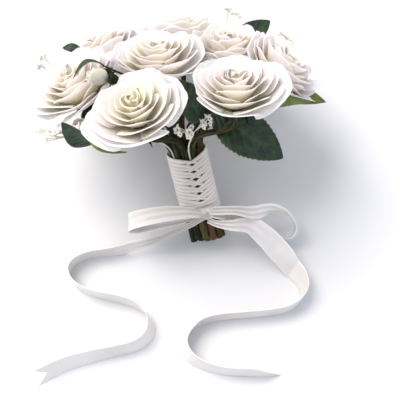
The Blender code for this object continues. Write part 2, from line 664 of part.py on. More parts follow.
def wrap_section(angle):
    """The wrap's wall: stepped turns that dip towards the front, over a plain inside."""
    inner = SLEEVE_INNER + TAPE_WALL + 1.1 * GAP
    away = min(angle, 2 * math.pi - angle) / math.radians(85)
    dip = WRAP_DIP * max(0.0, 1 - away)
    pitch = (WRAP_TOP - WRAP_BOTTOM) / WRAP_BANDS
    section = [(inner, WRAP_BOTTOM)]
    for turn in range(WRAP_BANDS):
        low = WRAP_BOTTOM + turn * pitch - dip * min(1, turn)
        high = WRAP_BOTTOM + (turn + 1) * pitch - dip - 0.4 * MM
        section += [(inner + WRAP_WALL + WRAP_STEP, low), (inner + WRAP_WALL, high)]
    return section + [(inner, section[-1][1])]


def lens(degrees, height, length, breadth, slant):
    """A slanted lens-shaped cutter that stands out from the wrap's front."""
    angle, tilt = math.radians(degrees), math.radians(slant)
    out = np.array((math.sin(angle), -math.cos(angle), 0))
    across = np.array((math.cos(angle), math.sin(angle), 0))
    along = across * math.cos(tilt) + np.array((0, 0, math.sin(tilt)))
    upward = np.cross(along, out) * -1
    outline = ((-.5, 0), (-.2, -.5), (.2, -.5), (.5, 0), (.2, .5), (-.2, .5))
    ends = []
    for reach in (BUNDLE_RADIUS - 2 * MM, BUNDLE_RADIUS + 6 * MM):
        centre = out * reach + np.array((0, 0, height * MM))
        ends.append([centre + along * u * length * MM + upward * v * breadth * MM for u, v in outline])
    return prism(*ends)


# Gaps between the turns down the wrap's front: degrees round, height, length, breadth, slant.
WRAP_GAPS = (
    (17, 91.0, 4.0, 1.8, 10), (16, 83.5, 9.0, 3.0, 25), (8, 74.0, 3.2, 1.6, 10), (5, 66.5, 7.0, 2.8, 15),
    (8, 58.5, 5.0, 2.0, 25), (4, 51.0, 6.5, 2.4, 12),
)


def band_section(angle):
    inner = SLEEVE_INNER
    middle = 0.5 * (BAND_BOTTOM + BAND_TOP)
    crease = 0.35 * MM
    return ((inner, BAND_BOTTOM), (inner + 0.7 * BAND_WALL, BAND_BOTTOM), (inner + BAND_WALL, BAND_BOTTOM + 2.4 * MM),
            (inner + BAND_WALL - crease, middle), (inner + BAND_WALL, BAND_TOP - 2.4 * MM),
            (inner + 0.7 * BAND_WALL, BAND_TOP), (inner, BAND_TOP))


def strip(centres, ways):
    """A ribbon along its middle line, with the vector across its width at each point."""
    tangents = np.gradient(centres, axis=0)
    normals = np.cross(tangents, ways)
    normals *= 0.5 * RIBBON_THICKNESS / np.linalg.norm(normals, axis=1, keepdims=True)
    edges = np.stack((centres - 0.5 * ways, centres + 0.5 * ways), axis=1)
    return blade(edges - normals[:, None], edges + normals[:, None])


def tail_shape(stations, hand):
    """A ribbon end from the knot to the surface; hand is the side its upper edge leans to."""
    route = smooth_route(stations, TAIL_CELLS + 1)
    centres, width, stand = route[:, :3] * MM, route[:, 3] * MM, np.radians(route[:, 4])
    rest = 0.5 * width * np.abs(np.sin(stand)) + 0.5 * RIBBON_THICKNESS * np.abs(np.cos(stand))
    centres[:, 2] = np.maximum(centres[:, 2], rest)
    heading = np.gradient(centres[:, :2], axis=0)
    heading /= np.linalg.norm(heading, axis=1, keepdims=True)
    side = np.stack((-heading[:, 1], heading[:, 0], np.zeros(len(heading))), axis=1) * hand
    ways = side * np.cos(stand)[:, None] + np.outer(np.sin(stand), (0, 0, 1.0))
    return centres, ways * width[:, None]


def notch_cutter(centres, ways):
    """The wedge that cuts a swallow-tail into a ribbon's end."""
    along = unit(centres[-1] - centres[-2])
    across = ways[-1]
    through = unit(np.cross(along, across)) * 4 * MM
    end = centres[-1]
    corners = np.array((end - along * NOTCH, end + along * 2 * MM + across * 0.62,
                        end + along * 2 * MM - across * 0.62))
    return prism(corners + through, corners - through)


def add_tail(name, stations, hand, finish):
    centres, ways = tail_shape(stations, hand)
    return combine(name, [strip(centres, ways), notch_cutter(centres, ways)], finish, "DIFFERENCE")


def add_loop(name, stations, finish):
    """A bow loop from the knot out and back, turning from the bow's face to edge on and back."""
    route = smooth_route(stations, LOOP_CELLS + 1)
    turn = np.radians(route[:, 4])[:, None]
    ways = unit(BOW_FACE) * np.cos(turn) + unit(BOW_EDGE) * np.sin(turn)
    centres = route[:, :3] * MM
    tangents = np.gradient(centres, axis=0)
    tangents /= np.linalg.norm(tangents, axis=1, keepdims=True)
    ways -= tangents * np.sum(ways * tangents, axis=1, keepdims=True)
    ways /= np.linalg.norm(ways, axis=1, keepdims=True)
    return add_object(name, strip(centres, ways * route[:, 3:4] * MM), finish)


def add_knot(finish):
    """The bow's knot on the front of the band: a rounded block."""
    width, depth, height = KNOT_SIZE
    profile = ((0, -.5), (.62, -.5), (.92, -.32), (1.0, 0), (.92, .32), (.62, .5), (0, .5))
    points, faces = lathe([(0.5 * r, z) for r, z in profile], 10)
    squared = points * np.array((width, depth, height))
    front = SLEEVE_INNER + BAND_WALL + GAP + 0.5 * depth
    squared += np.array((2 * MM, -front, 0.5 * (BAND_BOTTOM + BAND_TOP)))
    return add_object("bow_knot", (squared, faces), finish)


# The whole bouquet.

def build():
    for old in list(bpy.data.objects):
        bpy.data.objects.remove(old)
    petals = material("petal_satin", (0.86, 0.82, 0.74), 0.6)
    greens = material("stem_green", (0.10, 0.14, 0.04), 0.6)
    leaves = material("leaf_green", (0.015, 0.05, 0.018), 0.35)
    blossoms = material("blossom_white", (0.85, 0.84, 0.78), 0.7)
    tape = material("floral_tape", (0.03, 0.06, 0.03), 0.8)
    ribbon = material("satin_ribbon", (0.80, 0.77, 0.75), 0.35)

    in_bundle = add_roses(petals) + [add_bud(petals)]
    for name, crown, (turn, tilt), radius, _, _ in ROSES:
        face = facing(turn, tilt)
        in_bundle.append(add_flower_stem(
            name.replace("rose", "stem", 1), ROSE_SLOTS[name], seat_of(crown, face, radius * MM), face,
            ((6.6, -3.5), (13, -4.5), (22, -9)), greens))
    face = facing(*BUD_FACE)
    seat = np.array(BUD_CROWN, float) * MM - face * BUD_LENGTH
    in_bundle.append(add_flower_stem("stem_bud", BUD_SLOT, seat, face,
                                     ((6.6, -2.5), (9.5, -1), (11.5, 2)), greens, BUD_LEAF))
    for name, place, blades in LEAFY_STEMS:
        in_bundle.append(add_leafy_stem(name, place, blades, leaves))
    for name, degrees, places in FILLERS:
        in_bundle.append(add_filler(name, degrees, places, blossoms))
    in_bundle.append(add_object("binding_tape", sleeve(tape_section, SLEEVE_SIDES), tape))
    cutters = [lens(*gap) for gap in WRAP_GAPS]
    in_bundle.append(combine("handle_wrap", [sleeve(wrap_section, SLEEVE_SIDES)] + cutters, ribbon, "DIFFERENCE"))
    in_bundle.append(add_object("bow_band", sleeve(band_section, SLEEVE_SIDES), ribbon))
    in_bundle.append(add_knot(ribbon))

    on_surface = [add_tail("ribbon_tail_left", TAIL_LEFT, -1, ribbon),
                  add_tail("ribbon_tail_right", TAIL_RIGHT, 1, ribbon),
                  add_loop("bow_loop_left", LOOP_LEFT, ribbon),
                  add_loop("bow_loop_right", LOOP_RIGHT, ribbon)]

    ground = bpy.data.objects.new("ground", None)
    bunch = bpy.data.objects.new("bunch", None)
    for empty in (ground, bunch):
        bpy.context.scene.collection.objects.link(empty)
    bunch.parent = ground
    bunch.rotation_euler = (LEAN - math.pi / 2, 0, 0)
    bunch.location = (0, 0, foot_reach() * math.cos(LEAN))
    for piece in in_bundle:
        piece.parent = bunch
    for piece in on_surface:
        piece.parent = ground
    bpy.context.view_layer.update()
    corners = np.array([piece.matrix_world @ vertex.co for piece in in_bundle + on_surface
                        for vertex in piece.data.vertices])
    middle = 0.5 * (corners.min(axis=0) + corners.max(axis=0))
    ground.location = (-middle[0], -middle[1], 0)
    for piece in in_bundle + on_surface:
        piece.data.shade_smooth()
        piece.data.set_sharp_from_angle(angle=math.radians(40))


build()
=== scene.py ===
# Rose bouquet lying on its side on a pale surface, its stems wrapped and tied with satin ribbon.
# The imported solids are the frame; the pieces here give them their petals, leaf veins, bark and cloth.
import functools
import math

import bpy
import numpy as np
from mathutils import Matrix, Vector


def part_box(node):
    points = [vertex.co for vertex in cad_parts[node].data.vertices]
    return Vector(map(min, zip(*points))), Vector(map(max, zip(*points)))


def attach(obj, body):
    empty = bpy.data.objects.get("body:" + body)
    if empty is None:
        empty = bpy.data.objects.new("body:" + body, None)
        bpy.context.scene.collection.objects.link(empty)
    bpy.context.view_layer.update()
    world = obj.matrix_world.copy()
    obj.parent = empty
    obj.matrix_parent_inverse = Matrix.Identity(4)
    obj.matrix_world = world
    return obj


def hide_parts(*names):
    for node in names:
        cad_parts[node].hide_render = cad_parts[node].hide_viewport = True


print("loading the frame")
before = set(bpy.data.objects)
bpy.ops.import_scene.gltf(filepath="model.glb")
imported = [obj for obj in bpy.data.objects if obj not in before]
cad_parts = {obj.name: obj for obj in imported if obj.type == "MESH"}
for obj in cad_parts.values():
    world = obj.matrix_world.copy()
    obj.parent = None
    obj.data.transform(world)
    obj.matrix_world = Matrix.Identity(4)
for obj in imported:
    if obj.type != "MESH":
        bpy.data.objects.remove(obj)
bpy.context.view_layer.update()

mm = 0.001

# The bunch is drawn upright, stems down, front towards -Y, and then laid down by its lean.
bunch = {"lean": 41.0, "tapeMiddle": 69.0, "neck": 98.0, "stemRadius": 3.45, "innerRing": 7.25,
         "outerRing": 14.3}
leanAngle = math.radians(bunch["lean"])
laidDown = np.array(((1, 0, 0), (0, math.sin(leanAngle), -math.cos(leanAngle)),
                     (0, math.cos(leanAngle), math.sin(leanAngle))))
stemWay = np.array((0.0, 0.0, 1.0))    # up the stems of the upright bunch
tapeLow, tapeHigh = (np.array(corner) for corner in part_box("binding_tape"))
bunchPlace = 0.5 * (tapeLow + tapeHigh) - bunch["tapeMiddle"] * mm * stemWay @ laidDown
floorPlace = np.array((bunchPlace[0], bunchPlace[1], 0.0))


def layDown(points):
    # points of the upright bunch, turned by its lean and moved to where the solids lie
    return np.asarray(points) @ laidDown + bunchPlace


def unit(vectors):
    # vectors of length one along the given ones
    vectors = np.asarray(vectors, float)
    return vectors / np.maximum(np.linalg.norm(vectors, axis=-1, keepdims=True), 1e-12)


def facing(aroundAngle, tilt):
    # direction that points aroundAngle degrees from the front and tilt degrees from the bunch's axis
    turn, lean = math.radians(aroundAngle), math.radians(tilt)
    return np.array((math.sin(turn) * math.sin(lean), -math.cos(turn) * math.sin(lean), math.cos(lean)))


def addObject(name, data):
    # a mesh, camera or lamp as an object of the scene
    made = bpy.data.objects.new(name, data)
    bpy.context.scene.collection.objects.link(made)
    return made


def placeObject(thing, sideways, towards, place):
    # puts an object at a place, its x axis along sideways and its z axis along towards
    axes = np.eye(4)
    axes[:3] = np.stack((sideways, np.cross(towards, sideways), towards, place), axis=1)
    thing.matrix_world = Matrix(axes.tolist())


# Camera, as the photograph looks down on the bunch; its aim is in millimetres of the upright bunch.
view = {"azimuth": -17.5, "elevation": 69.3, "distance": 1.3, "lens": 119.7, "sensor": 36, "farthest": 20,
        "aim": (-1.0, -20.0, 51.5)}


def addCamera():
    turn = math.radians(view["azimuth"])
    back = facing(view["azimuth"], 90 - view["elevation"])
    camera = bpy.data.cameras.new("camera")
    camera.lens, camera.sensor_width, camera.clip_end = view["lens"], view["sensor"], view["farthest"]
    holder = addObject("camera", camera)
    placeObject(holder, (math.cos(turn), math.sin(turn), 0), back,
                layDown(np.array(view["aim"]) * mm) + back * view["distance"])
    bpy.context.scene.camera = holder


addCamera()


# Shapes. Each one is worked out on grids of points and given as (points, groups of faces).

def axesAlong(direction):
    # rows x, y and z of a frame whose z runs along direction
    third = unit(direction)
    first = unit(np.cross((0, 0, 1) if abs(third[2]) < 0.95 else (0, 1, 0), third))
    return np.array((first, np.cross(third, first), third))


def stacked(*parts):
    # numbers on one grid, each stretched to the size of the others, as points or pairs
    return np.stack(np.broadcast_arrays(*parts), axis=-1)


def fullTurn(count):
    # angles evenly round a circle
    return 2 * math.pi * np.arange(count) / count


def runningLength(points):
    # length of the way from the first point to each point
    return np.concatenate(((0.0,), np.cumsum(np.linalg.norm(np.diff(points, axis=0), axis=1))))


def readAt(table, length, wanted):
    # the columns of a table, whose rows stand at the running lengths, read at the wanted lengths
    return np.stack([np.interp(wanted, length, column) for column in table.T], axis=-1)


def smoothRoute(stations, count):
    # a curve through the stations, each span a cubic whose slopes come from the neighbours, evenly spaced
    knots = np.asarray(stations, float)
    knots = np.vstack((2 * knots[0] - knots[1], knots, 2 * knots[-1] - knots[-2]))
    spans = len(knots) - 3
    place = np.linspace(0, spans, 30 * spans + 1)
    index = np.minimum(place.astype(int), spans - 1)
    f = (place - index)[:, None]
    a, b, c, d = (knots[index + k] for k in range(4))
    slope, curving, twisting = c - a, 2 * a - 5 * b + 4 * c - d, 3 * b - a - 3 * c + d
    curve = 0.5 * (2 * b + slope * f + curving * f ** 2 + twisting * f ** 3)
    length = runningLength(curve[:, :3])
    return readAt(curve, length, np.linspace(0, length[-1], count))


def bend(start, startWay, end, endWay, count):
    # a cubic that leaves start along startWay and reaches end along endWay
    t = np.linspace(0, 1, count)[:, None]
    near, far = start + startWay, end - endWay
    return (1 - t) ** 3 * start + 3 * t * (1 - t) ** 2 * near + 3 * t * t * (1 - t) * far + t ** 3 * end


def gridFaces(rows, columns, closedAcross=False, closedUp=False):
    # quads of a grid numbered row by row, joined round where it is closed
    r, c = np.meshgrid(np.arange(rows if closedUp else rows - 1),
                       np.arange(columns if closedAcross else columns - 1), indexing="ij")
    above, beside = (r + 1) % rows, (c + 1) % columns
    quads = (r * columns + c, r * columns + beside, above * columns + beside, above * columns + c)
    return np.stack(quads, axis=-1).reshape(-1, 4)


def tubeFaces(rows, columns):
    # faces of a stack of rings: quads between them, and one face that closes each end
    ring = np.arange(columns)
    return [gridFaces(rows, columns, closedAcross=True), ring[::-1][None], ring[None] + (rows - 1) * columns]


def gridNormals(grids):
    # unit normals: the way across a grid crossed with the way up it
    return unit(np.cross(np.gradient(grids, axis=-2), np.gradient(grids, axis=-3)))


def blades(grids, thickness):
    # closed thin sheets from a stack of grids (count, rows, columns, 3): each is set off by half its
    # thickness to both sides along the normals, and a strip of quads closes the rim
    count, rows, columns = grids.shape[:3]
    size = rows * columns
    offset = gridNormals(grids) * 0.5 * thickness
    points = np.stack((grids + offset, grids - offset), axis=1)
    front = gridFaces(rows, columns)
    rim = np.concatenate((np.arange(columns), np.arange(1, rows) * columns + columns - 1,
                          (rows - 1) * columns + np.arange(columns - 2, -1, -1),
                          np.arange(rows - 2, 0, -1) * columns))
    after = np.roll(rim, -1)
    strip = np.stack((after, rim, rim + size, after + size), axis=1)
    one = np.concatenate((front, front[:, ::-1] + size, strip))
    faces = one + 2 * size * np.arange(count)[:, None, None]
    return points.reshape(-1, 3), [faces.reshape(-1, 4)]


def bothSides(values, *width):
    # the same numbers on both faces of each blade, as a list or as rows of the given width
    return np.stack((values, values), axis=1).reshape(-1, *width)


def withEnds(rings):
    # one value for each ring of a stalk, its first and last given twice more for the circles that close it
    return np.concatenate((rings[:1], rings[:1], rings, rings[-1:], rings[-1:]))


def stalk(path, radii, sides):
    # circles of the given radii carried along a path, closed by ever smaller circles at both ends
    path = np.asarray(path, float)
    ways = unit(np.gradient(path, axis=0))
    side = unit(np.cross(ways[0], (0.3, 1.0, 0.2)))
    sideways = []
    for way in ways:
        side = unit(side - way * side.dot(way))
        sideways.append(side)
    across = np.cross(ways, sideways)
    radii = withEnds(np.broadcast_to(np.asarray(radii, float), len(path)))
    radii[[0, 1, -2, -1]] *= (0.02, 0.9, 0.9, 0.02)
    path, sideways, across = (withEnds(np.asarray(part))[:, None] for part in (path, sideways, across))
    turns = fullTurn(sides)[:, None]
    rings = path + radii[:, None, None] * (np.cos(turns) * sideways + np.sin(turns) * across)
    return rings.reshape(-1, 3), tubeFaces(len(path), sides)


def joined(shapes):
    # several shapes as one: all their points in a row, and their faces numbered on to match
    starts = np.cumsum([0] + [len(points) for points, groups in shapes])
    faces = [group + start for (points, groups), start in zip(shapes, starts) for group in groups]
    return np.concatenate([points for points, groups in shapes]), faces


def addPiece(name, node, shape, finish, values=None, flow=None):
    # a smooth mesh object that stands for a CAD node; values are numbers per point, flow is (across, along)
    points, groups = shape
    mesh = bpy.data.meshes.new(name)
    mesh.from_pydata(points.tolist(), [], [face for group in groups for face in group.tolist()])
    for key, numbers in (values or {}).items():
        mesh.attributes.new(key, "FLOAT", "POINT").data.foreach_set("value", np.asarray(numbers, np.float32))
    if flow is not None:
        corners = np.empty(len(mesh.loops), np.int32)
        mesh.loops.foreach_get("vertex_index", corners)
        mesh.uv_layers.new(name="flow").data.foreach_set("uv", flow[corners].astype(np.float32).ravel())
    mesh.materials.append(finish)
    mesh.shade_smooth()
    made = addObject(name, mesh)
    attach(made, "root")
    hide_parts(node)
    return made


def addBlades(name, node, grids, thickness, finish, values, flow, clearance):
    # a stack of grids as one piece of thin blades, kept clear of the surface, with numbers and flow that
    # are given on the grids
    points, groups = blades(grids, thickness * mm)
    points[:, 2] = np.maximum(points[:, 2], clearance * mm)
    values = {key: bothSides(np.broadcast_to(numbers, grids.shape[:3])) for key, numbers in values.items()}
    flow = bothSides(np.broadcast_to(flow, grids.shape[:3] + (2,)), 2)
    return addPiece(name, node, (points, groups), finish, values, flow)


# Finishes.

def linear(code):
    # an sRGB hex colour as linear numbers
    parts = [int(code[k:k + 2], 16) / 255 for k in (1, 3, 5)]
    return tuple(p / 12.92 if p <= 0.04045 else ((p + 0.055) / 1.055) ** 2.4 for p in parts) + (1.0,)


def setInputs(node, inputs):
    # gives each named input its value, or a link from a socket or from the first output a node has in use
    for key, value in inputs.items():
        if isinstance(value, bpy.types.Node):
            value = next(socket for socket in value.outputs if socket.enabled)
        if isinstance(value, bpy.types.NodeSocket):
            node.id_data.links.new(value, node.inputs[key])
        else:
            node.inputs[key].default_value = value


def addNode(tree, kind, inputs=None, stops=(), **settings):
    # adds one node with its settings, its inputs and, on a ramp, its (place, colour) stops
    made = tree.nodes.new("ShaderNode" + kind)
    for key, value in settings.items():
        setattr(made, key, value)
    setInputs(made, inputs or {})
    for place, colour in stops[2:]:
        made.color_ramp.elements.new(place)
    if stops:
        for element, (place, colour) in zip(made.color_ramp.elements, stops):
            element.position, element.color = place, linear(colour)
    return made


def startFinish(name, levels):
    # a material, the function that adds its nodes, and its shader with the plain levels set on it
    made = bpy.data.materials.new(name)
    made.use_nodes = True
    shader = made.node_tree.nodes["Principled BSDF"]
    setInputs(shader, levels)
    return made, functools.partial(addNode, made.node_tree), shader


def rosePetalFinish():
    # rose petal: soft living tissue with papery cells, so it is matt, lets a little light through and
    # turns yellow-cream towards its root; that yellow is partly the petal's own colour and partly painted
    # shade for the crevices between the petals
    made, add, shader = startFinish("rosePetal", {
        "Roughness": 0.62, "IOR": 1.42, "Specular IOR Level": 0.3, "Sheen Weight": 0.25,
        "Sheen Roughness": 0.4, "Subsurface Weight": 0.8, "Subsurface Scale": 0.005,
        "Subsurface Radius": (1.0, 0.9, 0.8)})
    rim, heart = (add("Attribute", attribute_name=key).outputs["Fac"] for key in ("rim", "heart"))
    # partly painted shade: the yellow stops towards the root are the petal's own cream base and also stand
    # for shade in the crevices between petals
    along = add("ValToRGB", {"Fac": rim}, stops=((0, "#F1E198"), (.30, "#F4E9B8"), (.55, "#F4EED6"),
                                                 (.82, "#F0E9E3"), (1, "#ECE4E4")))
    warm = add("Math", {0: heart, 1: 0.75}, operation="MULTIPLY")
    cream = add("Mix", {"Factor": warm, "A": along, "B": linear("#F2E8B0")}, data_type="RGBA")
    # a faint blush in clouds some centimetres wide, stronger at the rim
    clouds = add("TexNoise", {"Vector": add("TexCoord").outputs["Object"], "Scale": 32.0, "Detail": 2.0})
    blush = add("MapRange", {"Value": clouds, "From Min": 0.40, "From Max": 0.62, "To Max": 0.7})
    outer = add("Math", {0: blush, 1: rim}, operation="MULTIPLY")
    tinted = add("Mix", {"Factor": outer, "A": cream, "B": linear("#F2DFE6")}, data_type="RGBA")
    # veins run up the petal about 1 mm apart
    stretched = add("Mapping", {"Vector": add("UVMap", uv_map="flow"), "Scale": (1000, 90, 1)})
    veins = add("TexNoise", {"Vector": stretched, "Scale": 1.0, "Detail": 3.0})
    relief = add("Bump", {"Height": veins, "Strength": 0.5, "Distance": 0.0008})
    setInputs(shader, {"Base Color": tinted, "Normal": relief})
    return made


def leafFinish():
    # rose leaf: waxy skin over green tissue, so the top is dark and glossy, the underside pale olive and
    # matt, the veins lighter and the toothed edge brownish
    made, add, shader = startFinish("waxyRoseLeaf", {"IOR": 1.45, "Coat Weight": 0.08, "Coat Roughness": 0.3})
    under, vein, edge = (add("Attribute", attribute_name=key).outputs["Fac"]
                         for key in ("under", "vein", "margin"))
    spot = add("TexCoord").outputs["Object"]
    # blotches a few millimetres wide, over cells about 1.5 mm across
    blotches = add("TexNoise", {"Vector": spot, "Scale": 140.0, "Detail": 4.0})
    top = add("ValToRGB", {"Fac": blotches}, stops=((.36, "#0A1C0D"), (.5, "#142E17"), (.63, "#213F20")))
    below = add("ValToRGB", {"Fac": blotches}, stops=((.30, "#56631F"), (.5, "#707C36"), (.72, "#8A9350")))
    side = add("Mix", {"Factor": under, "A": top, "B": below}, data_type="RGBA")
    light = add("Math", {0: vein, 1: 0.22}, operation="MULTIPLY")
    veined = add("Mix", {"Factor": light, "A": side, "B": linear("#62783F")}, data_type="RGBA")
    brown = add("Math", {0: edge, 1: 0.7}, operation="MULTIPLY")
    edged = add("Mix", {"Factor": brown, "A": veined, "B": linear("#5B4530")}, data_type="RGBA")
    gloss = add("MapRange", {"Value": under, "To Min": 0.45, "To Max": 0.65})
    cells = add("TexVoronoi", {"Vector": spot, "Scale": 700.0})
    relief = add("Bump", {"Height": cells, "Strength": 0.25, "Distance": 0.0003})
    setInputs(shader, {"Base Color": edged, "Roughness": gloss, "Normal": relief})
    return made


def stemFinish():
    # cut rose stem: green bark that dries to olive, tan and reddish brown, streaked along its length,
    # with a pale moist cut end; the streaks are about 2 mm apart
    made, add, shader = startFinish("roseStemBark", {"Roughness": 0.72, "IOR": 1.45,
                                                     "Specular IOR Level": 0.25})
    tone, cut = (add("Attribute", attribute_name=key).outputs["Fac"] for key in ("tone", "cut"))
    streaked = add("Mapping", {"Vector": add("UVMap", uv_map="flow"), "Scale": (520, 60, 1)})
    streaks = add("TexNoise", {"Vector": streaked, "Scale": 1.0, "Detail": 4.0})
    shift = add("MapRange", {"Value": streaks, "From Min": 0.3, "From Max": 0.7,
                             "To Min": -0.42, "To Max": 0.42})
    mixed = add("Math", {0: tone, 1: shift}, operation="ADD")
    bark = add("ValToRGB", {"Fac": mixed}, stops=((0, "#0B1508"), (.28, "#232C11"), (.5, "#483E23"),
                                                  (.74, "#615030"), (1, "#553322")))
    ends = add("Mix", {"Factor": cut, "A": bark, "B": linear("#A89A66")}, data_type="RGBA")
    relief = add("Bump", {"Height": streaks, "Strength": 0.5, "Distance": 0.0006})
    setInputs(shader, {"Base Color": ends, "Normal": relief})
    return made


def floretFinish():
    # small filler blossom: thin waxy petals round an olive eye, on a pale twig
    made, add, shader = startFinish("fillerBlossom", {"Roughness": 0.5, "Subsurface Weight": 0.2,
                                                      "Subsurface Scale": 0.001})
    eye = add("Attribute", attribute_name="eye").outputs["Fac"]
    colours = add("ValToRGB", {"Fac": eye}, stops=((0, "#F5F3EC"), (.35, "#EDEADB"), (.6, "#C9C79E"),
                                                   (1, "#5A5330")))
    setInputs(shader, {"Base Color": colours})
    return made


def satinFinish(name, pale, deep, selvedgeAndTuckShadeColour, weave):
    # woven satin ribbon: long smooth floats of thread along its length, so it gleams across and shades
    # softly; the threads are about 0.25 mm apart and drawn three times as coarse so that they show
    made, add, shader = startFinish(name, {"Roughness": 0.42, "IOR": 1.5, "Sheen Weight": 0.25,
                                           "Sheen Roughness": 0.35, "Anisotropic": 0.4})
    edge, fold = (add("Attribute", attribute_name=key).outputs["Fac"] for key in ("selvedgeAndTuckShade", "fold"))
    clouds = add("TexNoise", {"Vector": add("TexCoord").outputs["Object"], "Scale": 28.0, "Detail": 3.0})
    tint = add("ValToRGB", {"Fac": clouds}, stops=((.35, pale), (.68, deep)))
    # edge colour: on the bow a pale selvedge, the ribbon's own; on the wound ribbon painted shade between its
    # strips
    edged = add("Mix", {"Factor": edge, "A": tint, "B": linear(selvedgeAndTuckShadeColour)}, data_type="RGBA")
    # painted shade: a beige grey mixed in where the fold number is high, in the valleys of pleats and gathers
    folded = add("Mix", {"Factor": fold, "A": edged, "B": linear("#AD9D91")}, data_type="RGBA")
    threads = add("Mapping", {"Vector": add("UVMap", uv_map="flow"), "Scale": (1300, 160, 1)})
    lines = add("TexNoise", {"Vector": threads, "Scale": 1.0, "Detail": 2.0})
    relief = add("Bump", {"Height": lines, "Strength": weave, "Distance": 0.0003})
    setInputs(shader, {"Base Color": folded, "Normal": relief})
    return made


def tapeFinish():
    # floral tape: waxed crepe paper, dull dark green, crumpled into grains a few millimetres wide
    made, add, shader = startFinish("waxedCrepeTape", {"Roughness": 0.8})
    mottle = add("TexNoise", {"Vector": add("TexCoord").outputs["Object"], "Scale": 260.0, "Detail": 4.0})
    colours = add("ValToRGB", {"Fac": mottle}, stops=((.35, "#10160D"), (.7, "#2A3320")))
    relief = add("Bump", {"Height": mottle, "Strength": 0.6, "Distance": 0.0006})
    setInputs(shader, {"Base Color": colours, "Normal": relief})
    return made


print("mixing the finishes")
petalSkin = rosePetalFinish()
leafSkin = leafFinish()
stemBark = stemFinish()
floretSkin = floretFinish()
bowSatin = satinFinish("wovenSatinRibbon", "#E4E1DD", "#D8D2CE", "#F8F7F3", 0.35)
# the wound ribbon's edge colour is painted shade: a brownish line along both edges of each strip, where it
# tucks under its neighbour
wrapSatin = satinFinish("woundSatinRibbon", "#ECE5DF", "#D9CCC4", "#A08C80", 0.5)
crepe = tapeFinish()

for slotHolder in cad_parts["binding_tape"].material_slots:
    slotHolder.material = crepe


# Roses.

# crown, middle, roll, ruffle and tuck are shares of the radius, drop and point shares of a petal's length,
# and pairs are the ranges that petals are drawn from; bowlOrder says how far out each bowl is in the order
# of the petals, and bowlHalf is half a petal's width there in degrees
rose = {"petals": 23, "rows": 16, "columns": 21, "thickness": 0.3, "turn": 137.5, "turnUneven": 9.0,
        "crown": 0.83, "middle": 0.42, "bowlOrder": (0, .18, .36, .56, .78, 1),
        "bowlHalf": (170, 98, 80, 69, 65, 68), "halfShare": (.9, 1.1), "lengthShare": (.95, 1.03),
        "drop": 0.42, "cornerPower": (2.2, 3.4), "point": (-.07, .03), "pointWidth": 0.3,
        "roll": 0.045, "rollShare": (.5, 1.3), "rollFrom": 0.72, "tuck": 0.03,
        "ruffle": 0.068, "waves": (.7, 1.5), "fineRuffle": 0.65, "fineWaves": (2.0, 3.4)}
# how blooms press on each other (mm): air between them, share of the way at which the press begins, how
# far the planes between them give way, what a step in rank moves them, and by how much petals differ
press = {"gap": 0.3, "from": 0.35, "give": 3.0, "rankStep": 1.5, "uneven": 1.2}
# nested bowls from the heart out: (distance from the axis, height) from root to rim, as shares of the radius
roseBowls = (((.004, .66), (.03, .69), (.05, .73), (.055, .79), (.015, .83)),
             ((.06, .30), (.12, .50), (.18, .66), (.22, .77), (.21, .83)),
             ((.12, .21), (.23, .43), (.32, .60), (.38, .73), (.40, .81)),
             ((.16, .12), (.36, .34), (.49, .52), (.58, .65), (.63, .75)),
             ((.18, .05), (.48, .25), (.69, .42), (.80, .55), (.85, .65)),
             ((.20, .01), (.56, .16), (.84, .31), (.97, .44), (1.03, .50)))
# crown of each bloom in the upright bunch (mm), the way it faces, its radius, turn, which of two
# touching blooms gives way (the lower number does) and how ruffled it is
roses = {
    "front_left": ((-47, -92, 193), (-15, 28), 47.5, 28, 3, 1.0),
    "front_right": ((49, -90, 188), (16, 18), 47, 214, 3, 1.0),
    "right": ((119, -20, 169), (72, 52), 45, 75, 1, 1.3),
    "back_right": ((104, 68, 150), (120, 64), 44, 140, 1, 1.4),
    "back": ((8, 122, 172), (176, 52), 44, 20, 1, 1.4),
    "back_left": ((-62, 74, 215), (-100, 16), 49, 265, 1, 1.4),
    "left": ((-95, -13, 211), (-60, 22), 49, 345, 2, 1.2),
    "top_front": ((-5, -14, 216), (20, 12), 47, 120, 2, 1.1),
    "top_right": ((68, 14, 198), (52, 16), 46, 35, 1, 1.4),
    "top_back": ((32, 76, 212), (140, 12), 50, 80, 1, 1.5),
}
# where a leaf presses a bloom flatter: the way to it and its distance from the bloom's middle (mm)
leafWalls = {"front_right": ((-.921, -.045, -.389), 34)}
bud = {"crown": (-81, -47, 214), "face": (-85, 60), "length": 25.0, "radius": 7.8, "room": 11.0, "rank": 2,
       "petals": 6, "rows": 14, "columns": 15, "halfAngle": 86, "roll": 1.2,
       "profile": ((.30, .0), (.85, .45), (1.02, 1.1), (.92, 1.75), (.55, 2.35), (.22, 2.66))}


def alongRows(curves, share):
    # points at a share of the way along each curve (count, steps, 2), for shares (count, rows, columns)
    steps = curves.shape[1] - 1
    place = np.clip(share, 0, 1) * steps
    low = np.minimum(place.astype(int), steps - 1)
    part = (place - low)[..., None]
    picked = np.arange(len(curves))[:, None, None]
    return curves[picked, low] * (1 - part) + curves[picked, low + 1] * part


def acrossPetal(columns):
    # from -1 to 1 across a petal, in steps that grow shorter towards its edges
    return np.sin(1.5 * np.linspace(-1, 1, columns)) / math.sin(1.5)


